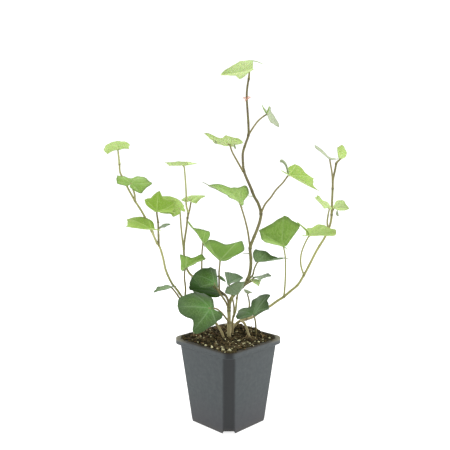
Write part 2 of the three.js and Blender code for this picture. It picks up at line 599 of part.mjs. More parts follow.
function buildSoil(plantRods) {
  const shape = { inset: WALL + GAP, parts: SOIL_PARTS };
  const rings = [wallSection(WALL + GAP, shape)];
  for (let ring = 0; ring < SOIL_RINGS; ring += 1) {
    const surface = wallSection(SOIL_LEVEL, { ...shape, scale: 1 - ring / SOIL_RINGS });
    rings.push(surface.map((point) => point.setZ(ring ? soilHeight(point.x, point.y) : SOIL_LEVEL)));
  }
  const blockWidth = CHAMFER + 2 * (WALL + GAP);
  const blocks = cornerBlocks(blockWidth, CORNER_STEP_REACH + WALL + GAP, CORNER_STEP + WALL + GAP);
  return plantRods.reduce((soil, plant) => soil.subtract(plant), loft(rings).subtract(blocks));
}

// A stem with its branches, either at its real size or grown by the clearance.
function stemRods(stem, grown = 0) {
  const whole = rod(routeOf(stem.route), stem.radii, STEM_SIDES, STEM_STEP, grown);
  const branchRadii = [stem.radii[0] * BRANCH_SHARE, stem.radii[1]];
  return stem.branches.reduce(
    (body, branch) => body.add(rod(routeOf(branch), branchRadii, STEM_SIDES, STEM_STEP, grown)),
    whole,
  );
}

function buildStem(stem) {
  const whole = stemRods(stem);
  const parent = STEMS.find((other) => other.name === stem.parent);
  return parent ? largest(whole.subtract(stemRods(parent, GAP))) : whole;
}

// The biggest of the bodies that a cut leaves.
function largest(body) {
  return body.decompose().reduce((most, other) => (other.volume() > most.volume() ? other : most));
}

// Petioles end just inside the blade, under its midrib.
function petioleRoute(leaf) {
  const inward = new THREE.Vector3(leaf.length * PETIOLE_REACH, 0, 0).applyMatrix4(aimOf(leaf));
  return routeOf([...leaf.petiole, inward.add(vector(leaf.petiole.at(-1))).toArray()]);
}

const petioleRod = (leaf, grown = 0) => rod(
  petioleRoute(leaf),
  [PETIOLE_FOOT_RADIUS, PETIOLE_TIP_RADIUS],
  PETIOLE_SIDES,
  PETIOLE_STEP,
  grown,
);

// Turns the blade's own frame, midrib along +X and upper side to +Z, to the leaf's heading, pitch and roll.
function aimOf({ aim: [heading, pitch, roll] }) {
  return new THREE.Matrix4()
    .makeRotationZ(radians(heading))
    .multiply(new THREE.Matrix4().makeRotationY(radians(-pitch)))
    .multiply(new THREE.Matrix4().makeRotationX(radians(roll)));
}

// A point of the flat blade, in blade lengths. Each half has its own spread, and the tip may lean sideways.
function bladePlan(angle, reach, { spread: [left, right], lean }) {
  const x = reach * Math.cos(radians(angle));
  const y = reach * Math.sin(radians(angle));
  return [x, y * (y > 0 ? left : right) + lean * Math.max(x, 0) ** 2];
}

// How far the blade's middle layer stands off its plane, in blade lengths.
function bladeHeight(x, y, { fold, droop, sag, twist }) {
  const folded = fold * (Math.hypot(y, CREASE) - CREASE);
  const ahead = Math.max(x, 0);
  return folded - droop * ahead * ahead - sag * y * y - twist * x * y;
}

// Both faces share one net of triangles: a fan round the petiole, then bands out to the lobed edge.
function bladeSolid(leaf) {
  const angles = FORMS[leaf.form];
  const outline = [
    ...angles.map((angle, i) => [angle, leaf.left[i] / 100]),
    ...angles.map((angle, i) => [-angle, leaf.right[i] / 100]).slice(1, -1).reverse(),
  ];
  const count = outline.length;
  const net = [[0, 0]];
  BLADE_RINGS.forEach((ring) => outline.forEach(([angle, reach]) => {
    net.push(bladePlan(angle, ring * reach, leaf));
  }));
  const face = (offset) => net.map(([x, y]) => new THREE.Vector3(
    x * leaf.length,
    y * leaf.length,
    bladeHeight(x, y, leaf) * leaf.length + offset,
  ));
  const index = [];
  const under = net.length;
  const bothFaces = (a, b, c) => index.push(a, b, c, under + a, under + c, under + b);
  for (let i = 0; i < count; i += 1) {
    const next = (i + 1) % count;
    bothFaces(0, 1 + i, 1 + next);
    for (let ring = 0; ring + 1 < BLADE_RINGS.length; ring += 1) {
      const inner = 1 + ring * count;
      const outer = inner + count;
      bothFaces(inner + i, outer + i, outer + next);
      bothFaces(inner + i, outer + next, inner + next);
    }
    const edge = 1 + (BLADE_RINGS.length - 1) * count;
    index.push(edge + i, under + edge + i, under + edge + next);
    index.push(edge + i, under + edge + next, edge + next);
  }
  const points = [...face(BLADE_THICKNESS / 2), ...face(-BLADE_THICKNESS / 2)];
  const geometry = new THREE.BufferGeometry().setFromPoints(points);
  geometry.setIndex(index);
  geometry.applyMatrix4(aimOf(leaf).setPosition(vector(leaf.petiole.at(-1))));
  return solid(geometry);
}

function buildLeaf(leaf) {
  const whole = bladeSolid(leaf).add(petioleRod(leaf));
  const stem = STEMS.find((other) => other.name === leaf.stem);
  return stem ? largest(whole.subtract(stemRods(stem, GAP))) : whole;
}

function buildPlant() {
  const plant = new THREE.Group();
  const rooted = LEAVES.filter((leaf) => leaf.stem === 'soil');
  const inSoil = [
    ...STEMS.filter((stem) => !stem.parent).map((stem) => stemRods(stem, GAP)),
    ...rooted.map((leaf) => petioleRod(leaf, GAP)),
  ];
  plant.add(piece('pot', 'pot', buildPot()));
  plant.add(piece('soil', 'soil', buildSoil(inSoil)));
  STEMS.forEach((stem) => plant.add(piece(stem.name, 'stem', buildStem(stem))));
  LEAVES.forEach((leaf) => plant.add(piece(leaf.name, leaf.tone, buildLeaf(leaf))));
  return plant;
}

export default buildPlant();
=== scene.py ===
# %% [markdown]
# # A young ivy in a square nursery pot
# The plant is a rooted cutting of ivy in a tapered grey plastic pot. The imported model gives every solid
# its place. This script dresses it: the pot gets soft moulded edges, the soil gets crumbs, the stems get
# joints and bark, and each leaf gets a curved outline, veins and a thin blade that lets some light through.

# %% The fixed frame
import math
import random

import bmesh
import bpy
import numpy as np
from mathutils import Matrix, Vector, noise


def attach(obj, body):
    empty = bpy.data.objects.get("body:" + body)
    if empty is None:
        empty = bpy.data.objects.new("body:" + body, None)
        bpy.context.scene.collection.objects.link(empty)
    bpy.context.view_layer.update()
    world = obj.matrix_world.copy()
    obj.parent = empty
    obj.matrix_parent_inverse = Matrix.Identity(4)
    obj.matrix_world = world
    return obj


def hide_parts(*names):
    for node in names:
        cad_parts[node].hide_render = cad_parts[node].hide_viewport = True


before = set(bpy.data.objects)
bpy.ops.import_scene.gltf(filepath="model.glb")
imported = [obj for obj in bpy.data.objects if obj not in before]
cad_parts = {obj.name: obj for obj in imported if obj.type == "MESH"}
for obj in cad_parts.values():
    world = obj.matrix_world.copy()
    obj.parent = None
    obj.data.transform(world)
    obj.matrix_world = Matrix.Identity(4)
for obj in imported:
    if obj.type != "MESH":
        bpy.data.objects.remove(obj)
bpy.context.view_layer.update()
MM = 0.001
random.seed(7)
print("solids in the frame:", len(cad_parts))

# %% [markdown]
# The camera comes first, because the leaves were placed along its lines of sight. A 50 mm lens on a 36 mm
# sensor, about 68 cm away and a little above the middle of the plant, looks slightly down. That is how
# the perspective of the pot's rim and foot reads.

# %% Camera
camera = bpy.data.objects.new("camera", bpy.data.cameras.new("camera"))
camera.data.lens = 50
camera.data.sensor_width = 36
camera.location = (0, -0.680, 0.296)
camera.rotation_euler = (math.radians(90 - 6.35), 0, math.radians(0.30))
bpy.context.scene.collection.objects.link(camera)
bpy.context.scene.camera = camera
print("camera height over the floor:", round(camera.location.z, 3), "m")

# %% [markdown]
# The pot's sizes are those of the solid model, in millimetres. A nursery pot of this kind tapers towards
# its foot, has a flat down each corner and a short rim. Its corners stand a few millimetres off the
# ground, so that water can drain.

# %% Sizes of the pot
POT_HEIGHT = 94.5
POT_TURN = math.radians(46)
BASE_SIDE, WALL_TOP_SIDE, RIM_SIDE = 66, 85, 89
RIM_CORNER_RADIUS, RIM_DEPTH, CHAMFER = 11, 6.5, 12.5
WALL, CORNER_STEP, CORNER_STEP_REACH, DRAIN_RADIUS = 1.5, 3, 9, 2.5
SOIL_LEVEL = 94
HEAPS = [(10, 32, 5, 13), (30, 20, 4, 11), (-14, 20, 1.5, 16), (4, -44, 1.5, 12)]

# %% [markdown]
# A stem is drawn as a route from its foot in the soil to its tip, and its radius shrinks evenly along the
# route. Ivy sends up several stems from one rooted cutting, and two of them have a branch that starts on
# their route. Four numbers tell how fresh the bark is on the way from foot to tip: 1 is green, 0 is brown
# and -1 is dry tan. A route is written as text, with commas between its points, because a long list of
# numbers is easier to read without brackets.

# %% Routes of the stems
def numbers(text):
    return [float(word) for word in text.split()]


def path(text):
    """Points in millimetres from text, with commas between the points."""
    return [tuple(numbers(point)) for point in text.split(",")]


STEMS = {
    "main": dict(radii=(2.1, 1.1), fresh=(0.75, 0.6, 0, 0), route="""
        1 0 72, 1 0 95, 1 2 116, 1 4 129, 4 5 138, 11 6 146, 19 7 154, 23 7 162, 25 6 173, 25 3 183,
        24 -1 195, 27 -5 205, 31 -9 216, 34 -12 226, 35 -13 234, 32 -13 245, 28 -11 252, 24 -8 262,
        20 -4 271, 17 0 279, 16 4 288, 16 8 299, 19 11 309, 22 12 318, 22 11 329, 21 9 343, 20 7 356,
        20 6 364, 21 4 373, 22 3 378
    """),
    "left_outer": dict(radii=(1.4, 0.95), fresh=(0.2, 0.8, 1, 0.7), route="""
        -4 -1 74, -5 -2 94, -12 0 108, -21 1 116, -31 2 125, -42 0 134, -51 -3 141, -56 -6 149, -61 -8 156,
        -65 -11 165, -68 -13 174, -70 -16 186, -73 -19 198, -76 -21 204, -80 -24 214, -84 -26 224,
        -87 -28 231, -91 -30 239, -94 -31 244, -97 -32 249, -101 -31 256, -105 -29 263, -108 -27 270,
        -113 -25 278, -114 -23 287
    """, branch="""
        -74 -20 200, -74 -22 210, -74 -24 219, -74 -25 225
    """),
    "left_inner": dict(radii=(1.35, 1.1), fresh=(-0.4, 0.4, 0.5, 0.3), route="""
        1 4 132, -3 3 141, -10 4 146, -18 5 152, -26 6 156, -34 8 159, -41 11 162, -46 13 168, -49 15 179,
        -50 16 190, -49 17 202, -47 18 215, -46 20 225, -45 21 232
    """),
    "right": dict(radii=(1.7, 1.2), fresh=(-0.2, 0.6, 1, 0.1), route="""
        4 17 76, 4 18 97, 9 23 103, 14 26 106, 21 30 107, 28 34 108, 37 39 113, 49 43 119, 58 45 125,
        66 46 130, 74 46 137, 82 46 144, 89 45 156, 95 44 168, 101 43 181, 105 42 189, 112 41 201,
        117 40 213, 119 39 223, 119 37 235, 119 35 248, 119 33 260, 119 32 269, 121 31 280, 122 31 287
    """, branch="""
        14 26 106, 17 18 107, 20 10 104, 22 4 99, 24 -1 94, 25 -3 78
    """),
    "short": dict(radii=(1.5, 1), fresh=(-0.6, 0, 0.8, 1), route="""
        5 11 76, 5 12 96, 5 9 112, 8 3 123, 9 -4 133, 9.6 -10 142
    """),
}
print("stems:", len(STEMS))

# %% [markdown]
# An ivy leaf has a few lobes that fan out from the point where its stalk joins. Its outline is given as
# distances from that point at the angles below, measured from the midrib on both sides. At the angles
# listed under tips the outline turns a corner. Between them it is a smooth curve.

# %% Angles of the outlines
FORMS = {
    "five": dict(tips=(0, 50, 118), angles=(0, 9, 20, 31, 41, 50, 60, 74, 88, 103, 118, 138, 160, 180)),
    "broad": dict(tips=(0, 56), angles=(0, 10, 22, 34, 45, 56, 68, 82, 98, 114, 132, 152, 168, 180)),
    "three": dict(tips=(0,), angles=(0, 9, 20, 31, 42, 53, 63, 74, 88, 104, 120, 140, 160, 180)),
}

# %% [markdown]
# Every leaf of the plant has four lines in this table. The first line gives its name, its tone, its finish,
# its stem, its form and its length. Then come the heading, pitch and roll of its blade in degrees, how wide
# each half spreads and how far it leans, how much the blade is folded along the midrib, drooped, sagged and
# twisted, and its shade. The second line gives the points of its stalk from foot to blade. The last two are
# its left and right edge in hundredths of its length: no two ivy leaves are cut alike. These are the numbers
# of the solid model, so each fine leaf lies in the place of its solid.

# %% Places and bends of the leaves
LEAF_TABLE = """
main_1 dark dark main three 45  -150 13 -51  0.9 1.1 0.05  -0.15 0 0.7 0.4  0.1
1 1 111, -7 -12 125, -13 -21 132, -19 -32 135
88 84 68 55 56 64 66 58 47 42 37 38 32 10
88 87 72 62 56 52 54 51 48 53 45 20 14 6
main_2 dark shadowed main broad 38  137 16 21  1.1 0.9 0.15  -0.1 0 0.2 0.15  0
1 4 124, -4 8 135, -9 13 141
112 99 91 86 86 85 64 56 52 48 41 20 12 5
112 125 115 102 86 73 52 41 35 32 27 24 18 7
main_3 dark dark main broad 23  101 55 43  1.3 1.3 0  -0.1 0.15 0.65 0.25  0
1 4 128, -7 -9 143, -12 -16 153, -15 -19 159
91 83 84 80 77 73 69 60 56 58 42 19 10 5
91 88 98 84 82 73 56 45 35 32 26 19 13 6
main_4 mid bright main broad 11  -45 -21 -14  0.95 0.95 0.05  0.4 0.05 -0.05 -0.3  0.8
16 6 150, 20 -3 155, 26 -10 160
100 88 81 77 79 83 73 62 62 48 36 27 17 6
100 72 72 84 77 66 58 49 37 32 26 24 17 6
main_5 glaucous glaucous main broad 20  -19 5 -7  1.05 1.05 0  0.05 -0.05 -0.05 -0.35  1
19 7 154, 24 1 158, 29 -4 163
94 91 81 80 68 45 41 37 35 38 36 26 16 6
94 83 79 80 86 115 67 37 42 32 26 19 14 6
main_6 dark dark main broad 23  3 -1 16  1.05 1 0.15  0.45 -0.1 0 0.3  1
22 7 158, 27 6 163, 29 4 171, 33 0 180
100 88 77 75 75 76 69 64 65 53 34 20 16 6
100 120 117 93 95 97 88 68 46 32 26 19 15 6
main_7 mid mid main three 33  -176 58 -21  1.05 1.1 -0.1  0.25 0.7 -0.1 0.4  1
24 -1 195, 23 -5 202, 21 -10 215, 17 -18 231, 12 -25 247
100 84 74 65 59 62 64 42 34 27 24 22 17 7
100 84 56 55 54 60 68 65 57 27 24 20 13 6
main_8 lime lime main five 35  -35 -29 1  1.2 1.05 0.2  0.35 -0.05 0.05 0.35  0.05
35 -13 234, 39 -16 244, 45 -20 252, 50 -24 260, 57 -28 268, 63 -30 276
94 76 70 69 68 71 60 53 53 55 54 33 18 5
94 107 81 65 55 64 60 46 43 40 31 25 21 8
main_9 lime lime main five 29  -152 12 10  1.05 1.05 0.05  0.1 -0.1 0 0.05  0.95
16 0 279, 13 -3 284, 9 -7 291, 4 -14 300, 1 -18 308
109 99 59 55 64 80 66 53 58 57 56 47 24 7
109 81 72 61 60 59 60 58 55 54 31 37 33 11
main_10 lime dry main three 22  38 -37 47  1.1 1.05 -0.05  -0.05 0 -0.05 -0.4  0.6
22 12 318, 27 16 326, 34 22 335, 44 30 342
100 92 70 65 63 62 64 82 35 38 48 26 14 6
100 76 60 53 48 46 39 40 44 29 24 20 15 5
main_11 lime lime main three 32  174 -14 -27  1.2 1.3 -0.05  0.7 -0.1 0.65 0.15  0.9
22 3 378, 22 0 386
94 94 76 68 63 66 72 65 53 47 29 21 16 6
94 79 64 58 53 52 52 47 46 42 37 20 13 5
inner_1 mid mid left_inner three 42  123 18 9  1.3 1.25 -0.2  0.7 -0.1 0 -0.2  -0.7
-10 4 144, -10 1 154, -10 -7 169, -9 -14 184
97 84 66 50 43 46 46 46 46 42 37 30 18 6
97 84 66 58 58 62 64 58 52 47 26 20 13 5
inner_2 mid mid left_inner three 24  -146 63 -43  1 1.25 0  0.45 0.2 0.05 -0.05  -0.1
-30 8 156, -30 18 170, -30 27 186, -29 30 196
100 49 46 47 56 66 64 47 29 28 26 22 18 7
100 79 70 63 61 60 62 64 56 36 24 20 13 5
inner_3 lime lime left_inner broad 26  149 36 -4  1.1 1 0.05  0.05 0.1 0.5 0.35  0.15
-50 15 191, -51 9 203, -52 3 219, -53 -2 238
103 91 81 77 75 78 71 64 53 60 40 19 10 5
103 93 84 80 84 104 71 37 35 32 26 20 14 6
inner_4 lime lime left_inner five 20  50 24 3  1.1 1.1 -0.15  0.55 0.1 0.6 0.2  0.55
-46 20 226, -44 27 234, -42 30 245
73 71 63 59 60 55 55 58 53 50 56 46 33 10
73 65 59 59 66 78 70 58 55 57 64 39 19 6
inner_5 lime lime left_inner five 30  145 -3 4  0.85 1.05 0  0.15 -0.05 -0.15 0.1  1
-45 21 232, -47 19 240, -47 18 252, -48 20 269, -50 22 285
76 55 66 65 68 76 68 61 55 54 54 55 32 8
76 78 81 71 72 73 64 56 50 50 54 28 19 7
outer_1 dark dark left_outer broad 20  -154 -5 8  1.15 1.2 -0.1  0.15 0.15 0.05 0.1  0.8
-42 0 134, -52 -7 139, -57 -11 147, -62 -14 154
97 88 84 82 82 83 77 47 42 38 29 19 14 6
97 91 77 75 72 64 54 58 53 32 26 19 14 6
outer_2 mid mid left_outer three 28  12 38 6  1.05 0.95 0.05  0.4 0.25 0 -0.35  0.2
-48 -2 138, -47 -4 150, -48 -6 164, -47 -8 173
88 89 62 53 56 60 64 76 41 29 24 20 13 6
88 87 84 58 61 54 52 51 42 35 26 21 15 6
outer_3 mid lime left_outer broad 30.5  -136 4 -15  1 1.2 -0.1  0.4 -0.1 0.15 -0.35  -0.4
-76 -21 203, -77 -34 211, -78.4 -42.8 220.5
100 51 46 48 52 62 54 56 38 35 29 24 17 6
100 85 81 77 79 76 71 64 58 52 42 21 14 6
outer_4 glaucous glaucous left_outer five 11  6 19 1  1.25 1.1 -0.05  0.1 0 0.1 -0.4  1
-74 -24 219, -71 -26 221
97 81 68 63 62 64 68 84 47 33 35 26 21 8
97 91 72 69 68 66 72 65 58 52 38 25 20 7
outer_5 lime lime left_outer five 26  43 1 25  1.15 1.05 0.2  0.5 -0.05 0 -0.4  -0.3
-74 -24 225, -75 -25 238
106 89 70 61 68 78 72 60 52 55 60 44 17 7
106 91 74 65 70 78 70 58 55 57 54 43 26 8
outer_6 mid mid left_outer broad 24  66 28 22  1.2 1.1 -0.05  0 0.2 0 0.3  0.2
-97 -32 249, -97 -35 257, -100 -38 267
85 85 46 46 63 71 73 60 55 52 53 32 22 7
85 85 79 75 75 85 77 64 62 63 45 28 20 7
outer_7 lime lime left_outer broad 19  110 25 -13  1.1 1.1 0  0.35 0.05 0.6 0  0.35
-114 -23 287, -115 -21 295, -116 -20 303
109 99 91 93 84 83 71 64 62 62 26 19 12 5
109 96 81 84 84 80 71 60 56 57 30 19 10 5
right_1 mid dry right five 8  37 2 16  1.15 1.1 -0.1  0.5 0 0.05 0.4  -0.2
21 30 107, 24 26 120, 24 22 130, 22 20 140
100 86 66 63 64 66 66 56 57 59 64 47 27 8
100 86 72 69 80 83 41 34 37 45 52 47 29 8
right_2 mid mid right broad 31  -173 29 -39  1.25 1.25 -0.3  0.75 0.35 -0.1 -0.05  0.6
66 46 130, 67 44 147, 67 41 165, 66 38 181, 63 35 193
100 83 86 95 113 112 88 64 47 35 27 20 14 6
100 88 77 75 75 76 69 64 64 68 29 19 13 5
right_3 lime lime right broad 31  -25 4 10  1 1.05 0.2  0.35 0.05 0.1 -0.05  0.45
89 45 156, 85 41 168, 84 35 180, 86 28 192, 92 22 206
94 93 81 73 72 76 73 74 51 57 32 19 12 5
94 93 77 70 70 71 69 47 42 38 32 26 15 6
right_4 lime lime right three 21  168 32 -5  0.95 1.35 -0.1  0.25 -0.05 0.35 0.35  0.7
116 40 210, 114 36 219, 113 24 230, 112 12 238
88 97 66 62 58 60 64 71 32 27 24 21 17 7
88 89 66 52 53 54 64 53 29 27 24 20 13 7
right_5 lime lime right broad 16  -28 -1 17  1.05 1.05 0.2  0.3 0.2 -0.15 -0.4  0.95
119 38 228, 121 41 233, 123 42 236
103 88 77 75 77 73 67 68 67 34 26 20 12 5
103 88 79 73 75 73 67 45 35 32 26 24 17 6
right_6 lime dry right three 28  86 5 17  1.25 0.85 -0.05  0.6 -0.05 0.3 -0.3  0.5
119 33 259, 117 26 274, 114 19 285, 112 14 292
94 87 62 55 56 68 64 56 50 38 24 21 15 6
94 64 58 48 43 38 39 40 38 38 29 21 13 5
right_7 lime lime right broad 16  51 9 -58  0.95 1.2 -0.2  0.55 0 -0.1 -0.25  -0.3
122 32 287, 127 34 292
79 67 96 93 77 45 41 39 37 35 29 20 15 6
79 85 77 73 72 76 75 68 64 65 48 30 16 5
short_1 glaucous glaucous short broad 17  -35 50 39  1.15 0.9 0.1  0.4 0.65 -0.1 -0.35  0
6.2 6.5 117, 6.5 14 126, 3 25 141, 1 22 150
94 88 81 73 72 71 71 81 56 37 26 20 15 6
94 88 86 91 45 45 48 47 35 32 27 26 18 7
short_2 glaucous glaucous short broad 17.6  52 35 -17  1.3 1.15 0.05  0.65 -0.1 0.15 0.2  0.65
9.5 -9.4 141, 10.2 -18 147.7
97 93 88 84 82 76 73 66 60 57 37 19 11 5
97 88 81 75 68 64 67 64 49 40 26 19 14 6
rooted dark dark soil five 32  78 18 -28  1.1 1.2 0  0.65 -0.1 0.55 0.25  0.05
32 14 89, 31 5 106, 30 -2 114, 28 -4 122
97 86 50 57 74 83 70 61 58 54 54 43 16 8
97 86 74 71 72 73 74 56 57 59 69 43 27 9
"""


def read_leaves(table):
    leaves, lines = {}, table.strip().splitlines()
    for first, stalk, left, right in zip(lines[0::4], lines[1::4], lines[2::4], lines[3::4]):
        name, tone, finish, stem, form, *rest = first.split()
        length, *rest = (float(word) for word in rest)
        heading, pitch, roll, left_spread, right_spread, lean, fold, droop, sag, twist, shade = rest
        leaves[name] = dict(
            tone=tone, finish=finish, stem=stem, form=form, length=length,
            aim=(heading, pitch, roll), spread=(left_spread, right_spread), lean=lean,
            fold=fold, droop=droop, sag=sag, twist=twist, shade=shade,
            petiole=path(stalk), left=numbers(left), right=numbers(right),
        )
    return leaves


LEAVES = read_leaves(LEAF_TABLE)
print("leaves:", len(LEAVES))

# %% [markdown]
# Thin plant parts are tubes along smooth routes. A curve object could make them, but a mesh tube also
# carries values at its points, such as how near a joint is, which the bark and stalk finishes need. The
# route is a centripetal Catmull-Rom curve: it passes through every given point and never loops at tight
# ones.

# %% Smooth routes
def smooth_route(points, per_span):
    """Points on a smooth curve through the given points."""
    given = [np.array(point, float) for point in points]
    given = [2 * given[0] - given[1], *given, 2 * given[-1] - given[-2]]
    route = []
    for before, start, end, after in zip(given, given[1:], given[2:], given[3:]):
        gaps = [math.dist(a, b) ** 0.5 or 1.0 for a, b in ((before, start), (start, end), (end, after))]
        slope_in = (start - before) / gaps[0] - (end - before) / (gaps[0] + gaps[1])
        slope_in = (slope_in + (end - start) / gaps[1]) * gaps[1]
        slope_out = (end - start) / gaps[1] - (after - start) / (gaps[1] + gaps[2])
        slope_out = (slope_out + (after - end) / gaps[2]) * gaps[1]
        for t in np.linspace(0, 1, per_span, endpoint=False):
            cubic = 2 * start - 2 * end + slope_in + slope_out
            square = -3 * start + 3 * end - 2 * slope_in - slope_out
            route.append(((cubic * t + square) * t + slope_in) * t + start)
    return np.array([*route, given[-2]])


def lengths_along(route):
    """Distance of each point from the start of the route."""
    return np.concatenate([[0], np.cumsum(np.linalg.norm(np.diff(route, axis=0), axis=1))])


# %% [markdown]
# A shape is a small bundle of points, faces and values at the points. Shapes can be joined, and one
# call turns a bundle into an object of the scene. Faces keep a number for the finish that covers them.

# %% Shapes and objects
def shape(points, faces, finish=0, **values):
    return dict(points=np.array(points, float), faces=faces, finish=[finish] * len(faces), values=values)


def join(shapes):
    """One shape from several. A value that a shape lacks is 0 there."""
    names = sorted({name for one in shapes for name in one["values"]})
    values = {
        name: np.concatenate([one["values"].get(name, np.zeros(len(one["points"]))) for one in shapes])
        for name in names
    }
    faces, finish, start = [], [], 0
    for one in shapes:
        faces += [tuple(start + corner for corner in face) for face in one["faces"]]
        finish += one["finish"]
        start += len(one["points"])
    points = np.concatenate([one["points"] for one in shapes])
    return dict(points=points, faces=faces, finish=finish, values=values)


def shade_smooth(mesh, crease_angle):
    """Smooth shading that stops at edges sharper than the angle."""
    mesh.polygons.foreach_set("use_smooth", [True] * len(mesh.polygons))
    mesh.set_sharp_from_angle(angle=math.radians(crease_angle))


def make_object(name, made, finishes=(), crease_angle=60):
    """A mesh object from a shape in millimetres, with its finishes and its values as attributes."""
    mesh = bpy.data.meshes.new(name)
    mesh.from_pydata((made["points"] * MM).tolist(), [], made["faces"])
    mesh.validate()
    for finish in finishes:
        mesh.materials.append(finish)
    mesh.polygons.foreach_set("material_index", made["finish"])
    for key, amounts in made["values"].items():
        attribute = mesh.attributes.new(key, "FLOAT", "POINT")
        attribute.data.foreach_set("value", np.asarray(amounts, np.float32))
    shade_smooth(mesh, crease_angle)
    made_object = bpy.data.objects.new(name, mesh)
    bpy.context.scene.collection.objects.link(made_object)
    return made_object


def dress(piece, slot, *nodes):
    """Fixes a piece to the plant's one body, and lets it stand for solids. Its slot is not used."""
    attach(piece, "root")
    if nodes:
        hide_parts(*nodes)


# %% [markdown]
# A tube carries a ring of points along its route without twisting. Its ends close in a blunt dome. The
# faces between rings are made in one function, because the pot and the soil are skins over rings too.

# %% Tubes and skins
DOME_HEIGHT = 0.5


def bands(rings, count):
    """The faces that join rings of points, each ring to the next."""
    faces = []
    for ring in range(rings - 1):
        for i in range(count):
            a, b = ring * count + i, ring * count + (i + 1) % count
            faces.append((a, b, b + count, a + count))
    return faces


def skin(rings):
    """A closed skin over rings with the same number of points."""
    count = len(rings[0])
    last = (len(rings) - 1) * count
    caps = [tuple(range(count))[::-1], tuple(range(last, last + count))]
    return shape([point for ring in rings for point in ring], bands(len(rings), count) + caps)


def tube(route, radii, sides, finish=0, **values):
    """A closed tube. Values hold one number for each point of the route."""
    tangents = np.gradient(route, axis=0)
    tangents /= np.linalg.norm(tangents, axis=1)[:, None]
    is_steep = abs(tangents[0][2]) >= 0.9
    side = np.cross(tangents[0], (1, 0.2, 0.3) if is_steep else (0.3, 0.2, 1))
    points = []
    turns = np.linspace(0, 2 * math.pi, sides, endpoint=False)
    for centre, tangent, radius in zip(route, tangents, radii):
        side = side - tangent * side.dot(tangent)
        side /= np.linalg.norm(side)
        up = np.cross(tangent, side)
        points += [centre + radius * (math.cos(turn) * side + math.sin(turn) * up) for turn in turns]
    faces = bands(len(route), sides)
    for end, way in ((0, -1), (len(route) - 1, 1)):
        tip = len(points)
        points.append(route[end] + way * tangents[end] * radii[end] * DOME_HEIGHT)
        for i in range(sides):
            a, b = end * sides + i, end * sides + (i + 1) % sides
            faces.append((a, b, tip) if way > 0 else (b, a, tip))
    spread = {
        key: np.concatenate([np.repeat(amounts, sides), [amounts[0], amounts[-1]]])
        for key, amounts in values.items()
    }
    return shape(points, faces, finish, **spread)


# %% [markdown]
# Finishes are node materials. The arithmetic of a finish reads best as Python, so a socket is wrapped in
# a small class whose operators add the Math nodes. A table tells which operator adds which node. Every other
# node comes from one method, which takes the node's type, its settings and its inputs.

# %% Writing finishes as sums
class Amount:
    """A socket of a finish that can be used in sums."""

    def __init__(self, finish, socket):
        self.finish = finish
        self.socket = socket

    def maths(self, operation, *inputs, clamp=False):
        settings = dict(operation=operation, use_clamp=clamp)
        return self.finish.node("ShaderNodeMath", settings, dict(enumerate(inputs)))

    def __rsub__(self, other):
        return self.maths("SUBTRACT", other, self)

    def limited(self):
        """Held between 0 and 1."""
        return self.maths("ADD", self, 0, clamp=True)

    def ramp(self, low, high):
        """0 below low, 1 above high, and straight between them."""
        return ((self - low) / (high - low)).limited()


OPERATORS = {
    "__add__": "ADD", "__radd__": "ADD", "__sub__": "SUBTRACT", "__mul__": "MULTIPLY",
    "__rmul__": "MULTIPLY", "__truediv__": "DIVIDE", "__pow__": "POWER", "__abs__": "ABSOLUTE",
    "above": "GREATER_THAN", "most": "MAXIMUM", "part_after_point": "FRACT",
}


def operator(operation):
    """A method that adds the Math node of this operation."""
    return lambda self, *others: self.maths(operation, self, *others)


for name, operation in OPERATORS.items():
    setattr(Amount, name, operator(operation))
print("operators of a sum:", len(OPERATORS))


class Finish:
    """A material, or the world, that is built node by node."""

    def __init__(self, name, made_in=bpy.data.materials):
        self.owner = made_in.new(name)
        self.owner.use_nodes = True
        self.tree = self.owner.node_tree
        self.tree.nodes.clear()

    def node(self, kind, settings=None, inputs=None, output=0):
        made = self.tree.nodes.new(kind)
        for key, value in (settings or {}).items():
            setattr(made, key, value)
        for key, value in (inputs or {}).items():
            if isinstance(value, Amount):
                self.tree.links.new(value.socket, made.inputs[key])
            else:
                made.inputs[key].default_value = value
        return Amount(self, made.outputs[output]) if made.outputs else made

    def value(self, name):
        """A value that the mesh carries at its points."""
        return self.node("ShaderNodeAttribute", dict(attribute_name=name), output=2)

    def noise(self, scale, detail, place=None):
        inputs = {"Scale": scale, "Detail": detail} | ({"Vector": place} if place else {})
        return self.node("ShaderNodeTexNoise", {}, inputs)

    def place(self):
        """Where the point is, in metres."""
        return self.node("ShaderNodeTexCoord", output=3)

    def stretched(self, scale):
        """The place, measured in other units along each axis."""
        return self.node("ShaderNodeVectorMath", dict(operation="MULTIPLY"), {0: self.place(), 1: scale})

    def height(self):
        """How high over the floor the point is, in millimetres."""
        return self.along(self.place(), "Z") / MM

    def along(self, vector, axis):
        return self.node("ShaderNodeSeparateXYZ", {}, {0: vector}, "XYZ".index(axis))

    def mix(self, amount, first, second):
        """A colour that goes from the first to the second."""
        return self.node("ShaderNodeMix", dict(data_type="RGBA"), {0: amount, 6: first, 7: second}, 2)

    def bump(self, height, distance, strength):
        inputs = {"Height": height, "Distance": distance, "Strength": strength}
        return self.node("ShaderNodeBump", {}, inputs)

    def done(self, shader, output="ShaderNodeOutputMaterial"):
        self.node(output, {}, {0: shader})
        return self.owner

    def surface(self, **inputs):
        """The finished material, with one shader for all of it."""
        inputs = {key.replace("_", " "): value for key, value in inputs.items()}
        return self.done(self.node("ShaderNodeBsdfPrincipled", {}, inputs))


def colour(text):
    """A colour from its web notation, as the shader wants it."""
    channels = [int(text[i:i + 2], 16) / 255 for i in (1, 3, 5)]
    return (*[c / 12.92 if c <= 0.04045 else ((c + 0.055) / 1.055) ** 2.4 for c in channels], 1.0)


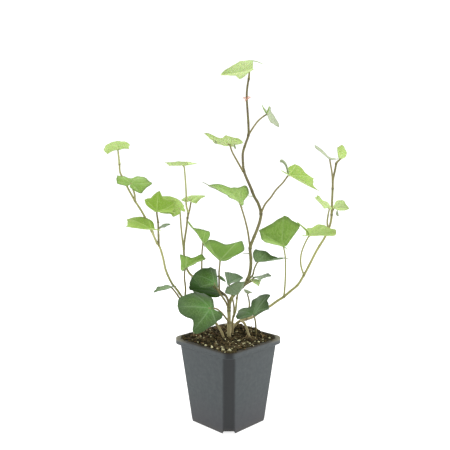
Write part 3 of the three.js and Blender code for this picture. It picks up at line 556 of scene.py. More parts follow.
# %% [markdown]
# The pot is thin moulded plastic. A skin lofted over rings of points gives the soft rounding along its
# flats and its lip in one piece, which a box with bevels would not. Each ring is a square with its
# corners cut and rounded, and the rim's rings are rounded squares with the same number of points.

# %% Rings of the pot
ARC_STEPS, FLAT_ROUNDING = 5, 4.5
QUARTER = math.pi / 2


def directions(turn):
    """Two level directions, the second a quarter turn on from the first."""
    return np.array([math.cos(turn), math.sin(turn)]), np.array([-math.sin(turn), math.cos(turn)])


def pot_ring(side, height, cut, radius):
    """A square ring with cut corners. The radius rounds both ends of each cut."""
    half = side / 2
    reach = radius * math.tan(math.radians(22.5))
    ring = []
    for quarter in range(4):
        axis, across = directions(POT_TURN + quarter * QUARTER)
        for corner, start in (((half, half - cut), 0), ((half - cut, half), 45)):
            outward, onward = directions(math.radians(start))
            centre = np.array(corner) - onward * reach - outward * radius
            for step in range(ARC_STEPS + 1):
                outward, _ = directions(math.radians(start + 45 * step / ARC_STEPS))
                spot = centre + radius * outward
                flat = axis * spot[0] + across * spot[1]
                ring.append((flat[0], flat[1], height))
    return ring


def wall_ring(height, inset=0.0):
    side = BASE_SIDE + (WALL_TOP_SIDE - BASE_SIDE) * height / POT_HEIGHT - 2 * inset
    cut = CHAMFER / math.sqrt(2) - inset * (2 - math.sqrt(2))
    return pot_ring(side, height, cut, FLAT_ROUNDING - inset)


def rim_ring(height, inset=0.0):
    radius = RIM_CORNER_RADIUS - inset
    cut = radius * (2 - math.sqrt(2))
    return pot_ring(RIM_SIDE - 2 * inset, height, cut, radius)


print("points in a ring of the pot:", len(wall_ring(0)))

# %% [markdown]
# The wall goes up outside, turns out into the rim's skirt, over the lip, and down inside. The corner
# steps and the drain holes are cut with a Boolean modifier, because they meet a flat floor, and a narrow
# bevel then softens every edge that is left.

# %% The pot
RIM_BOTTOM = POT_HEIGHT - RIM_DEPTH
FLOOR_TOP = CORNER_STEP + WALL
CORNER_FLAT = (BASE_SIDE - CHAMFER / math.sqrt(2)) / math.sqrt(2)


def pot_shape():
    rings = [wall_ring(0, 0.5), wall_ring(0.15, 0.15), wall_ring(0.6)]
    rings += [wall_ring(height) for height in np.linspace(8, RIM_BOTTOM + 4.6, 8)]
    rings += [
        rim_ring(height, inset) for height, inset in (
            (RIM_BOTTOM + 5, 1.3), (RIM_BOTTOM + 0.5, 1.3), (RIM_BOTTOM, 0.9), (RIM_BOTTOM, 0.4),
            (RIM_BOTTOM + 0.4, 0), (POT_HEIGHT - 0.7, 0), (POT_HEIGHT - 0.2, 0.2), (POT_HEIGHT, 0.8),
        )
    ]
    rings += [wall_ring(POT_HEIGHT, WALL - 0.7), wall_ring(POT_HEIGHT - 0.6, WALL)]
    return skin(rings + [wall_ring(height, WALL) for height in (80, 40, FLOOR_TOP + 0.4)])


def corner_cutter(out, across):
    """What the step under one corner leaves out: a wedge with a rounded top."""
    half, start = CHAMFER / 2, CORNER_FLAT - CORNER_STEP_REACH
    profile = [(half - 1, CORNER_STEP - 0.1), (half - 0.1, CORNER_STEP - 1), (half + 1.2, -4)]
    outline = [(-width, height) for width, height in profile[::-1]] + profile
    return skin([
        [(*(out * reach + across * width), height) for width, height in outline]
        for reach in (start, start + 30)
    ])


def drain_cutter(out, _):
    x, y = out * (CORNER_FLAT - CORNER_STEP_REACH / 2 - WALL / 2)
    route = np.array([(x, y, height) for height in (-3, 1, FLOOR_TOP + 3)])
    return tube(route, [DRAIN_RADIUS] * 3, 24)


def apply_modifier(piece, kind, **settings):
    """Adds a modifier and makes its result the piece's mesh."""
    modifier = piece.modifiers.new(kind.lower(), kind)
    for key, value in settings.items():
        setattr(modifier, key, value)
    evaluated = piece.evaluated_get(bpy.context.evaluated_depsgraph_get())
    mesh = bpy.data.meshes.new_from_object(evaluated)
    piece.modifiers.clear()
    old, piece.data = piece.data, mesh
    bpy.data.meshes.remove(old)


pot = make_object("nursery_pot", pot_shape())
cutters = make_object("cutters", join([
    cutter(*directions(POT_TURN + QUARTER / 2 + corner * QUARTER))
    for corner in range(4) for cutter in (corner_cutter, drain_cutter)
]))
for piece in (pot, cutters):
    work = bmesh.new()
    work.from_mesh(piece.data)
    bmesh.ops.recalc_face_normals(work, faces=work.faces)
    work.to_mesh(piece.data)
    work.free()
apply_modifier(pot, "BOOLEAN", operation="DIFFERENCE", object=cutters, solver="EXACT", use_self=True)
bpy.data.objects.remove(cutters)
apply_modifier(
    pot, "BEVEL", width=0.35 * MM, segments=2, limit_method="ANGLE", angle_limit=math.radians(50)
)
shade_smooth(pot.data, 35)
dress(pot, "pot", "pot")
print("faces of the pot:", len(pot.data.polygons))

# %% [markdown]
# The plastic is satin grey with a fine moulded grain. Its corner flats are a little smoother, and their
# darker colour is painted shade: the direction that a face points in tells where they are. The pot isn't
# clean. Soil dust lies in a band over the foot, and it has dried pale at the rim's side corners. A dark band
# along the lip is soil dust and painted shade under the soil's edge. Dust is rougher than the plastic, so
# one mask changes both the colour and the roughness.

# %% Grey plastic
def plastic_finish():
    plastic = Finish("pot_plastic")
    height, facing = plastic.height(), plastic.node("ShaderNodeNewGeometry", output=1)
    facing_x, facing_y = plastic.along(facing, "X"), plastic.along(facing, "Y")
    facing_one = facing_x * math.cos(POT_TURN) + facing_y * math.sin(POT_TURN)
    facing_two = facing_y * math.cos(POT_TURN) - facing_x * math.sin(POT_TURN)
    on_rim = height.ramp(RIM_BOTTOM - 2, RIM_BOTTOM)
    slant = abs(facing_one * facing_two * 2)
    corner_flat = slant.ramp(0.35, 0.98) * (1 - on_rim) + slant.ramp(0.4, 0.9) * on_rim
    patches = plastic.noise(90, 4.0)
    streaks = plastic.noise(1.0, 2.0, plastic.stretched((900, 900, 12)))
    foot_dust = (1 - height.ramp(0.5, 7)) * patches.ramp(0.35, 0.7)
    near_lip = height.ramp(POT_HEIGHT - 3.5, POT_HEIGHT - 0.4)
    lip_darkening = plastic.noise(420, 3.0) + height.ramp(POT_HEIGHT - 1.6, POT_HEIGHT - 0.1) * 0.3
    lip_dust_and_shade = near_lip * lip_darkening.ramp(0.46, 0.6)
    at_sides = (abs(plastic.along(plastic.place(), "X")) / MM).ramp(44, 57)
    shown = plastic.mix(plastic.noise(26, 3.0).ramp(0.3, 0.7), colour("#30373a"), colour("#3b4142"))
    for amount, tint in (
        (streaks.ramp(0.35, 0.7) * 0.25, "#2a2d2f"),
        ((1 - height.ramp(8, 40)) * 0.6, "#38363a"),
        # painted shade: the corner flats, on the wall and under the rim, turn near black
        (corner_flat * 0.85, "#15181a"),
        (foot_dust * 0.45, "#5d574c"),
        # soil dust on the lip, darkened further as painted shade under the soil's edge
        (lip_dust_and_shade * 0.85, "#2b2518"),
        (at_sides * near_lip * 0.6, "#85826f"),
    ):
        shown = plastic.mix(amount, shown, colour(tint))
    return plastic.surface(
        Base_Color=shown, Specular_IOR_Level=0.36,
        Roughness=0.45 + patches * 0.12 - corner_flat * 0.1 + (foot_dust + lip_dust_and_shade) * 0.3,
        Normal=plastic.bump(plastic.noise(2600, 2.0), 0.00003, 0.5),
    )


pot.data.materials.append(plastic_finish())
print("pot finish nodes:", len(pot.data.materials[0].node_tree.nodes))

# %% [markdown]
# Potting soil is a dark crumbly plug that fills the pot. Its surface is a net of rings that shrink to the
# middle, so its edge fits the wall exactly. Two sizes of noise lift it into clods and hollows. A flat
# disc with a bump map would look painted from the side.

# %% Surface of the soil
EDGE_POINTS, SOIL_NET_RINGS, CALM_RINGS = 240, 64, 6
SOIL_GAP = 0.2


def spaced(ring, count):
    """The same closed ring with evenly spaced points."""
    closed = np.array([*ring, ring[0]])
    marks = lengths_along(closed)
    spots = np.linspace(0, marks[-1], count, endpoint=False)
    return np.stack([np.interp(spots, marks, closed[:, axis]) for axis in range(3)], axis=1)


def soil_height(x, y):
    heaped = sum(
        rise * math.exp(-((x - middle_x) ** 2 + (y - middle_y) ** 2) / spread**2)
        for middle_x, middle_y, rise, spread in HEAPS
    )
    clods = noise.noise(Vector((x, y, 0)) * 0.16) * 1.6 + noise.noise(Vector((x, y, 5)) * 0.42) * 1.1
    return heaped + clods


def soil_shape():
    edge, foot = (
        spaced(wall_ring(height, WALL + SOIL_GAP), EDGE_POINTS) for height in (SOIL_LEVEL, FLOOR_TOP + 0.6)
    )
    rings = [foot, edge]
    for ring in range(1, SOIL_NET_RINGS):
        share = 1 - ring / SOIL_NET_RINGS
        level = edge * (share, share, 1)
        calm = min(1, ring / CALM_RINGS)
        for point in level:
            fine = noise.noise(Vector(point) * 1.3) * 0.45 + noise.noise(Vector(point) * 2.6) * 0.25
            point[2] += calm * (soil_height(point[0], point[1]) + fine)
        rings.append(level)
    return skin(rings)


soil = make_object("potting_soil", soil_shape(), crease_angle=80)
dress(soil, "soil", "soil")
print("faces of the soil:", len(soil.data.polygons))

# %% [markdown]
# Loose bits lie on the soil: peat crumbs, bark chips, pale grit and root fibres. Each bit is a small ball
# of triangles that noise has dented and a random scale has stretched. They are scattered with a seeded
# random source, so that the script makes the same pot every time. Only the larger grit at the front has
# fixed places: how far across and forward it lies, how high over the soil, and its size.

# %% Crumbs and chips
def ball_template():
    work = bmesh.new()
    bmesh.ops.create_icosphere(work, subdivisions=2, radius=1)
    points = np.array([corner.co[:] for corner in work.verts])
    faces = [tuple(corner.index for corner in face.verts) for face in work.faces]
    work.free()
    return points, faces


BALL = ball_template()
DENTS, RIM_BITS_REACH = 0.5, 52
RIM_RING = np.array(rim_ring(POT_HEIGHT))


def random_turn():
    """A random rotation as a matrix."""
    spin = Matrix.Rotation(random.uniform(0, 2 * math.pi), 3, "Z")
    tilt = Matrix.Rotation(random.uniform(-0.7, 0.7), 3, "X")
    return np.array(spin @ tilt)


def crumb(centre, size):
    points, faces = BALL
    seed = Vector((random.uniform(0, 90), random.uniform(0, 90), 0))
    swell = [1 + noise.noise(Vector(point) * 1.4 + seed) * DENTS for point in points]
    dented = points * np.array(swell)[:, None] * size
    tone = random.random()
    return shape(dented @ random_turn().T + centre, faces, tone=np.full(len(points), tone))


def inside_pot(margin):
    """A random spot on the soil, at least a margin away from the wall."""
    half = WALL_TOP_SIDE / 2 - WALL - margin
    cut = half * 2 - CHAMFER / math.sqrt(2)
    while True:
        across, deep = random.uniform(-half, half), random.uniform(-half, half)
        if abs(across) + abs(deep) < cut:
            return Matrix.Rotation(POT_TURN, 2) @ Vector((across, deep))


def scatter(count, sizes, sink, margin=1.0):
    """Bits of random size on the soil. Sizes give the least and the most for each direction."""
    bits = []
    for _ in range(count):
        x, y = inside_pot(margin)
        size = [random.uniform(low, high) for low, high in sizes]
        bits.append(crumb((x, y, SOIL_LEVEL + soil_height(x, y) + size[2] * sink), size))
    return join(bits)


def on_the_rim(count, sizes):
    """Bits that lie on the lip of the pot, most of them along the front."""
    bits = []
    while len(bits) < count:
        place = random.randrange(len(RIM_RING))
        start, end = RIM_RING[place], RIM_RING[(place + 1) % len(RIM_RING)]
        spot = start + (end - start) * random.random()
        if spot[1] > random.uniform(-60, 40) or abs(spot[0]) > RIM_BITS_REACH:
            continue
        size = [random.uniform(low, high) for low, high in sizes]
        inward = 1 - random.uniform(1.2, 3.2) / np.linalg.norm(spot[:2])
        bits.append(crumb((spot[0] * inward, spot[1] * inward, POT_HEIGHT + size[2] * 0.6), size))
    return join(bits)


FRONT_GRIT = path("""
    -5 -50 1.2 2.1, 1.5 -52.5 1.4 2.2, -11 -45 1 1.4, 4 -47 1.2 1.5, -1 -46 1.4 1.1, -17 -40 1 1.3,
    9 -45 1 1.2, -24 -33 1 1.2, 17 -37 1 1.1, 33 -20 1 1.2
""")
BITS = {
    "peat_crumbs": join([
        scatter(620, [(0.8, 2.2), (0.7, 1.8), (0.6, 1.5)], 0.1), on_the_rim(190, [(0.4, 1.2)] * 3),
    ]),
    "bark_chips": join([
        scatter(150, [(1.6, 4.2), (0.6, 1.4), (0.4, 0.8)], 0.5, 3),
        on_the_rim(12, [(0.6, 1.6), (0.4, 0.8), (0.3, 0.6)]),
    ]),
    "pale_grit": join([
        scatter(110, [(0.5, 1.3), (0.5, 1.1), (0.4, 1)], 0.5), on_the_rim(14, [(0.4, 0.9)] * 3),
        *[crumb((x, y, SOIL_LEVEL + rise), [size, size * 0.9, size * 0.8])
          for x, y, rise, size in FRONT_GRIT],
    ]),
}
for name, bits in BITS.items():
    dress(make_object(name, bits, crease_angle=40), "soil")
print("triangles of the loose bits:", sum(len(bits["faces"]) for bits in BITS.values()))

# %% [markdown]
# Fine root fibres and slivers of straw lie in arcs on the crumbs. They are short tubes.

# %% Root fibres
FIBRE_REACH = 50


def fibre():
    x, y = inside_pot(6)
    heading, bend = random.uniform(0, 2 * math.pi), random.uniform(-0.9, 0.9)
    length, points = random.uniform(5, 14), []
    for step in range(6):
        rise = 1.6 + 1.2 * math.sin(step / 5 * math.pi) * random.uniform(0.4, 1)
        points.append((x, y, SOIL_LEVEL + soil_height(x, y) + rise - (1.2 if step in (0, 5) else 0)))
        heading += bend * 0.35
        x, y = x + math.cos(heading) * length / 5, y + math.sin(heading) * length / 5
        if abs(x) + abs(y) > FIBRE_REACH:
            break
    if len(points) < 3:
        return fibre()
    route = smooth_route(points, 3)
    thick = random.uniform(0.15, 0.4)
    return tube(route, [thick] * len(route), 5, tone=np.full(len(route), random.random()))


fibres = make_object("root_fibres", join([fibre() for _ in range(46)]))
dress(fibres, "soil")
print("faces of the fibres:", len(fibres.data.polygons))

# %% [markdown]
# Damp peat is almost black in its pores and brown on its crumbs. One finish colours the plug from noise,
# and another gives every loose bit its own tone from the value that its points carry.

# %% Soil finishes
def peat_finish():
    peat = Finish("damp_peat")
    clumps, specks = peat.noise(190, 4.0), peat.noise(900, 3.0)
    brown = peat.mix(clumps.ramp(0.35, 0.65), colour("#100e06"), colour("#332b17"))
    return peat.surface(
        Base_Color=peat.mix(specks.ramp(0.6, 0.7) * 0.6, brown, colour("#625b35")),
        Roughness=0.95, Specular_IOR_Level=0.15, Normal=peat.bump(specks, 0.0008, 0.9),
    )


def bits_finish(name, dark, light, fleck):
    bits = Finish(name)
    specks = bits.noise(700, 3.0)
    base = bits.mix(bits.value("tone"), colour(dark), colour(light))
    return bits.surface(
        Base_Color=bits.mix(specks.ramp(0.5, 0.7) * 0.5, base, colour(fleck)),
        Roughness=0.9, Specular_IOR_Level=0.2, Normal=bits.bump(specks, 0.0004, 0.7),
    )


soil.data.materials.append(peat_finish())
BIT_COLOURS = {
    "peat_crumbs": ("peat_crumb", "#151108", "#4b4023", "#746b40"),
    "bark_chips": ("bark_chip", "#2c1e10", "#5e482b", "#837350"),
    "pale_grit": ("pale_grit", "#7f7a50", "#cdc89e", "#eeead0"),
    "root_fibres": ("root_fibre", "#4d3f28", "#9c8a63", "#8b7950"),
}
for name, colours in BIT_COLOURS.items():
    bpy.data.objects[name].data.materials.append(bits_finish(*colours))
print("finishes of loose bits:", len(BIT_COLOURS))

# %% [markdown]
# The stems are thin and slightly woody. At each leaf the stem thickens into a joint with a dark ring. The
# radius of the tube rises near each stalk's foot, and the same bell curve is kept as a value, from which
# the finish draws the dark rings.

# %% Stems with joints
BRANCH_SHARE, BRANCH_FRESH = 0.85, (0.3, 0.3, 0.5, 0.5)
JOINT_REACH, JOINT_SWELL, STEM_SWELL = 1.5, 0.3, 1.03
SCAR_START, SCAR_SPACING, SCAR_CLEARANCE, SCAR_STRENGTH = 12, 27, 8, 0.45


def feet_on(stem):
    """Where the stalks of this stem's leaves start."""
    return [np.array(leaf["petiole"][0], float) for leaf in LEAVES.values() if leaf["stem"] == stem]


def stem_tube(route_text, radii, feet, fresh):
    route = smooth_route(path(route_text), 7)
    marks = lengths_along(route)
    share = marks / marks[-1]
    joints = [marks[np.argmin(np.linalg.norm(route - foot, axis=1))] for foot in feet]
    near = np.zeros(len(route))
    for mark in np.arange(SCAR_START, marks[-1], SCAR_SPACING):
        if all(abs(mark - joint) > SCAR_CLEARANCE for joint in joints):
            near = np.maximum(near, SCAR_STRENGTH * np.exp(-(((marks - mark) / JOINT_REACH) ** 2)))
    for joint in joints:
        near = np.maximum(near, np.exp(-(((marks - joint) / JOINT_REACH) ** 2)))
    radius = (radii[0] + (radii[1] - radii[0]) * share) * (STEM_SWELL + JOINT_SWELL * near)
    return tube(route, radius, 14, joint=near, fresh=np.interp(share, (0, 0.25, 0.6, 1), fresh))


for name, stem in STEMS.items():
    foot_radius, tip_radius = stem["radii"]
    parts = [stem_tube(stem["route"], stem["radii"], feet_on(name), stem["fresh"])]
    if "branch" in stem:
        branch_radii = foot_radius * BRANCH_SHARE, tip_radius
        parts.append(stem_tube(stem["branch"], branch_radii, [], BRANCH_FRESH))
    dress(make_object(name + "_stem", join(parts)), "stem", "stem_" + name)
print("joints that carry leaves:", sum(len(feet_on(name)) for name in STEMS))

# %% [markdown]
# Grown bark is olive brown with purplish lengths, and fresh bark and the young leaves' stalks are a pale
# yellow-green. Dry bark is tan, and so are the feet of all stems near the soil. All of it is rather dull,
# with fine grooves.

# %% Bark and stalk finishes
DRY_TAN = colour("#b3a27a")


def bark_finish():
    bark = Finish("young_bark")
    fresh, streaks = bark.value("fresh"), bark.noise(500, 4.0)
    grown = bark.mix(bark.noise(38, 1.0).ramp(0.48, 0.6) * 0.7, colour("#706c46"), colour("#5d4b49"))
    base = bark.mix(fresh.limited(), grown, colour("#abab72"))
    base = bark.mix((0 - fresh).limited(), base, DRY_TAN)
    base = bark.mix((1 - bark.height().ramp(100, 126)) * 0.6, base, DRY_TAN)
    mottled = bark.mix(streaks.ramp(0.45, 0.7) * 0.4, base, colour("#5a533a"))
    return bark.surface(
        Base_Color=bark.mix(bark.value("joint").ramp(0.25, 0.9) * 0.45, mottled, colour("#3a3228")),
        Roughness=0.6, Specular_IOR_Level=0.2, Normal=bark.bump(streaks, 0.00025, 0.8),
    )


def stalk_finish():
    stalk = Finish("leaf_stalk")
    base = stalk.mix(stalk.value("fresh"), colour("#776d48"), colour("#a8ad72"))
    streaked = stalk.mix(stalk.noise(380, 2.0).ramp(0.4, 0.7) * 0.35, base, colour("#655742"))
    return stalk.surface(Base_Color=streaked, Roughness=0.5, Specular_IOR_Level=0.2)


young_bark, leaf_stalk = bark_finish(), stalk_finish()
for name in STEMS:
    bpy.data.objects[name + "_stem"].data.materials.append(young_bark)
print("bark finish nodes:", len(young_bark.node_tree.nodes))

# %% [markdown]
# Ivy climbs with short aerial roots. A tuft of them sits near the top of the main stem.

# %% Aerial rootlets
ROOTLET_WAYS = (-1, 1, -0.8, 0.8, -0.6, 0.7, -1, 0.9)


def rootlet(height, way, length):
    start = np.array([19.8, 6, height])
    out = np.array([way, random.uniform(-0.7, 0.3), random.uniform(-0.5, 0.5)])
    tip = start + out * length
    middle = (start + tip) / 2 + (0, 0, random.uniform(-0.4, 0.6))
    route = smooth_route([start, middle, tip], 4)
    return tube(route, np.linspace(0.5, 0.22, len(route)), 6)


rootlets = join([
    rootlet(357.5 + random.uniform(-2, 2), way, random.uniform(3.2, 5.4)) for way in ROOTLET_WAYS
])
rosy = Finish("aerial_root").surface(Base_Color=colour("#c9907c"), Roughness=0.7)
dress(make_object("aerial_rootlets", rootlets, [rosy]), "stem")
print("rootlets:", len(ROOTLET_WAYS))

# %% [markdown]
# A leaf is a thin blade that fans out from its stalk. Its net is made of rings that shrink from the
# edge to the stalk's end, so that the lobes' points stay sharp and the net stays even. The bends are the
# sums that also shape the solid leaves, plus a small ruffle towards the edge.

# %% The net of a blade
BLADE_RINGS, EDGE_STEPS = 12, 4
VEIN_ANGLES = (0, 54, 114)
BLADE_THICKNESS, CREASE, PETIOLE_REACH = 0.45, 0.08, 0.05
RUFFLE, PUCKER, UNEVEN = 0.0396, 0.03, 0.03
STALK_RADIUS, STALK_TAPER, FOOT_SWELL, FOOT_REACH = 1.12, 0.25, 0.35, 1.6
OLD_STALK = 0.15
FRESH_STALKS = {
    "outer_7": 1.0, "inner_5": 0.95, "right_3": 0.75, "right_2": 0.7, "outer_3": 0.7, "outer_6": 0.55,
    "inner_3": 0.5, "main_6": 0.5, "right_4": 0.4, "right_1": 0.3,
}


def half_edge(leaf, side, seed):
    """Plan points of one half's edge, from the tip round to the back of the stalk."""
    form, reaches = FORMS[leaf["form"]], leaf["left" if side > 0 else "right"]
    plan = []
    for angle, reach in zip(form["angles"], reaches):
        turn = math.radians(angle)
        plan.append((reach / 100 * math.cos(turn), side * reach / 100 * math.sin(turn)))
    cuts = [i for i, angle in enumerate(form["angles"]) if angle in form["tips"]] + [len(plan) - 1]
    edge = []
    for first, last in zip(cuts, cuts[1:]):
        edge += list(smooth_route(plan[first:last + 1], EDGE_STEPS)[:-1])
    edge.append(np.array(plan[-1]))
    return [point * (1 + UNEVEN * noise.noise(Vector((*(point * 5), seed)))) for point in edge]


def blade_height(x, y, leaf):
    folded = leaf["fold"] * (math.hypot(y, CREASE) - CREASE)
    ahead = max(x, 0)
    return folded - leaf["droop"] * ahead * ahead - leaf["sag"] * y * y - leaf["twist"] * x * y


def pucker(x, y):
    """How far the blade bulges between its veins: nothing on a vein, most in the middle of a field."""
    turn = abs(math.degrees(math.atan2(y, x)))
    field = np.interp(turn, (*VEIN_ANGLES, 180), (0, 1, 2, 3))
    return math.hypot(x, y) * abs(math.sin(math.pi * field)) ** 0.7


def aim_of(leaf):
    heading, pitch, roll = (math.radians(angle) for angle in leaf["aim"])
    turn = Matrix.Rotation(heading, 3, "Z") @ Matrix.Rotation(-pitch, 3, "Y")
    return np.array(turn @ Matrix.Rotation(roll, 3, "X"))


def blade_shape(leaf, seed):
    edge = half_edge(leaf, 1, seed) + half_edge(leaf, -1, seed)[-2:0:-1]
    count, length = len(edge), leaf["length"]
    plan = [(0.0, 0.0, 0.0)]
    for ring in range(1, BLADE_RINGS + 1):
        share = ring / BLADE_RINGS
        plan += [(*(point * share), share) for point in edge]
    net = []
    for x, y, share in plan:
        side = y * leaf["spread"][0 if y > 0 else 1] + leaf["lean"] * max(x, 0) ** 2
        wave = noise.noise(Vector((x * 2.6, y * 2.6, seed))) * RUFFLE * share**1.5
        height = blade_height(x, side, leaf) + wave + PUCKER * pucker(x, y)
        net.append((x * length, side * length, height * length))
    net, lift = np.array(net), np.array((0, 0, BLADE_THICKNESS / 2))
    points = np.concatenate([net + lift, net - lift]) @ aim_of(leaf).T + leaf["petiole"][-1]
    under, faces = len(net), []
    for i in range(count):
        after = (i + 1) % count
        faces += [(0, 1 + i, 1 + after), (under, under + 1 + after, under + 1 + i)]
        for ring in range(BLADE_RINGS - 1):
            inner, outer = 1 + ring * count, 1 + (ring + 1) * count
            top = (inner + i, outer + i, outer + after, inner + after)
            faces += [top, tuple(under + corner for corner in top[::-1])]
        rim = 1 + (BLADE_RINGS - 1) * count
        faces.append((rim + i, under + rim + i, under + rim + after, rim + after))
    along, across, outward = (np.tile(column, 2) for column in zip(*plan))
    return shape(
        points, faces, along=along, across=across, outward=outward,
        under=[0.0] * under + [1.0] * under, shade=[leaf["shade"]] * (2 * under),
    )


def petiole_shape(leaf, name):
    turn = aim_of(leaf)
    end = np.array(leaf["petiole"][-1]) + turn @ (0, 0, -0.3)
    inward = end + turn @ (leaf["length"] * PETIOLE_REACH, 0, 0)
    route = smooth_route([*leaf["petiole"][:-1], end, inward], 6)
    marks = lengths_along(route)
    share = marks / marks[-1]
    thick = STALK_RADIUS - STALK_TAPER * share + FOOT_SWELL * np.exp(-((marks / FOOT_REACH) ** 2))
    return tube(route, thick, 10, 1, fresh=np.full(len(route), FRESH_STALKS.get(name, OLD_STALK)))


print("points round the rooted leaf's edge:", 2 * len(half_edge(LEAVES["rooted"], 1, 0)) - 2)

# %% [markdown]
# A vein of ivy is paler than the blade. The main veins run straight from the stalk's end to the lobes'
# points, and side veins leave them at a slant, like the bones of a herring. The blade's points know their
# place in the flat leaf, so the whole pattern is a sum of that place, and follows every bend.

# %% Vein pattern
def vein_masks(leaf):
    """How much of a main vein, its pale halo and a side vein there is at a point of the blade."""
    x, y = leaf.value("along"), abs(leaf.value("across"))
    reach = (x * x + y * y) ** 0.5
    runs, offs = [], []
    for angle in VEIN_ANGLES:
        turn = math.radians(angle)
        runs.append(x * math.cos(turn) + y * math.sin(turn))
        offs.append(abs(y * math.cos(turn) - x * math.sin(turn)) + (0 - runs[-1]).most(0))
    second, third = (offs[0] - offs[1]).above(0), (offs[1] - offs[2]).above(0)
    run, off = (
        first * (1 - second) + middle * second * (1 - third) + last * third
        for first, middle, last in (runs, offs)
    )
    width = 0.02 * (1.1 - reach)
    main = 1 - off.ramp(width * 0.4, width + 0.006)
    halo = 1 - off.ramp(0.0, 0.07)
    slanted = ((run - off * 0.9) * 7).part_after_point()
    side = 1 - abs(slanted - 0.5).ramp(0.02, 0.07)
    return main, halo * halo, side * off.ramp(0.01, 0.03) * (1 - off.ramp(0.12, 0.3))


# %% [markdown]
# A leaf blade shines softly above and is dull and paler below. Some light comes through a young one, so
# its surface scatters a little light under the skin. Each tone has a skin colour, a deep, a pale and a lower
# one, and the colours of its heart and margin. The shade value of a leaf moves it towards pale or deep, so
# that neighbours differ as on a real plant. Pale noise patches on the upper side are painted sheen, and
# a painted sheen towards the lower colour lightens what is seen at a slant, in place of the room's
# reflection on the waxy skin.

# %% Leaf finishes
TONES = {
    "lime": ("#7e9f2a", "#6b8f16", "#b1c188", "#a9bc75", "#6b8f16", "#8f9f5c"),
    "mid": ("#6c8d31", "#5c8419", "#93b05f", "#96ad6f", "#5c8419", "#4a5a35"),
    "dark": ("#446621", "#274510", "#6a8750", "#748f65", "#4f8a30", "#2c4024"),
    "glaucous": ("#607954", "#526c44", "#90a27e", "#8a9c82", "#526c44", "#4c5c46"),
    "shadowed": ("#264612", "#193308", "#37551f", "#37551f", "#193308", "#1b2c0c"),
    # painted light: a paler copy of the lime tone for a small leaf that hangs facing down, as if lit through
    # from behind
    "bright": ("#c8d88c", "#b4cc70", "#d8e2b4", "#d0dc9c", "#b4cc70", "#9aa86c"),
    "dry": ("#87917a", "#717d5e", "#9fa98a", "#97a282", "#717d5e", "#7a8266"),
}
THROUGH = dict(lime=0.2, mid=0.15, dark=0.06, glaucous=0.08, shadowed=0, bright=0.3, dry=0.05)
GLOSS = dict(lime=0.14, mid=0.18, dark=0.25, glaucous=0.3, shadowed=0.02, bright=0.1, dry=0.15)
PAINTED_SHEEN, MARGIN_START = dict(dark=0.3), dict(dark=0.6)
VEIN_GLINT = (0.75, 0.8, 0.55, 1)


def leaf_finish(name):
    skin_tint, deep, pale, below, heart, rim = (colour(text) for text in TONES[name])
    leaf = Finish("leaf_" + name)
    main, halo, side = vein_masks(leaf)
    shade, under, outward = leaf.value("shade"), leaf.value("under"), leaf.value("outward")
    paler, deeper = shade.limited(), (0 - shade).limited()
    fields = leaf.noise(30, 1.0).ramp(0.42, 0.6)
    veins = (main * 0.5).most(halo * 0.2).most(side * 0.16) * outward.ramp(-0.2, 0.25)
    upper, lower = skin_tint, below
    for amount, tint in (
        (leaf.noise(90, 3.0).ramp(0.35, 0.65) * 0.5, deep),
        # painted sheen: pale noise patches stand for soft highlights on the blade
        (leaf.noise(48, 3.0).ramp(0.48, 0.64) * 0.55, pale),
        ((1 - outward.ramp(0.1, 0.55)) * 0.6, heart),
        (paler, pale), (deeper, deep), (fields * 0.4, deep), (veins, below),
    ):
        upper = leaf.mix(amount, upper, tint)
    for amount, tint in (
        (paler * 0.6, pale), (deeper, deep), (fields * 0.3, skin_tint),
        ((main * 0.35).most(side * 0.12), VEIN_GLINT),
    ):
        lower = leaf.mix(amount, lower, tint)
    # painted sheen: parts seen at a slant turn towards the lower colour, in place of the room's reflection
    slant = leaf.node("ShaderNodeLayerWeight", {}, {"Blend": 0.5}, 1).ramp(0.35, 0.95)
    blade = leaf.mix(slant * PAINTED_SHEEN.get(name, 0.4), leaf.mix(under, upper, lower), below)
    margin = outward.ramp(MARGIN_START.get(name, 0.84), 1.0) * 0.55
    relief = halo * -0.6 + side * -0.25 + leaf.noise(420, 2.0) * 0.25
    return leaf.surface(
        Base_Color=leaf.mix(margin, blade, rim), Roughness=0.5 + under * 0.2,
        Specular_IOR_Level=GLOSS[name], Subsurface_Weight=THROUGH[name],
        Subsurface_Radius=(0.5, 1.0, 0.15), Subsurface_Scale=0.0009,
        Normal=leaf.bump(relief, 0.0006, 0.7),
    )


LEAF_FINISHES = {name: leaf_finish(name) for name in TONES}
print("leaf finishes:", ", ".join(LEAF_FINISHES))

# %% [markdown]
# Now each entry of the table grows into a leaf: the blade and its stalk are one piece with two finishes.
# Every leaf has a seed of its own for its uneven edge and its waves.

# %% All leaves
SEED_STEP = 7.3
for number, (name, leaf) in enumerate(LEAVES.items()):
    made = join([blade_shape(leaf, number * SEED_STEP), petiole_shape(leaf, name)])
    blade = make_object("blade_" + name, made, [LEAF_FINISHES[leaf["finish"]], leaf_stalk])
    dress(blade, "leaf_" + leaf["tone"], "leaf_" + name)
print("faces of one leaf:", len(blade.data.polygons))

# %% [markdown]
# Some lobes have rolled up edge-on, others end in thin drip tips, one small leaf is still unfolding, and two
# short stubs are left where stalks broke off. Each of them is a tapered tube along a short route: its
# finish, its radii and the points of its route. They hang on leaves and stems, so each route touches the
# piece that carries it.

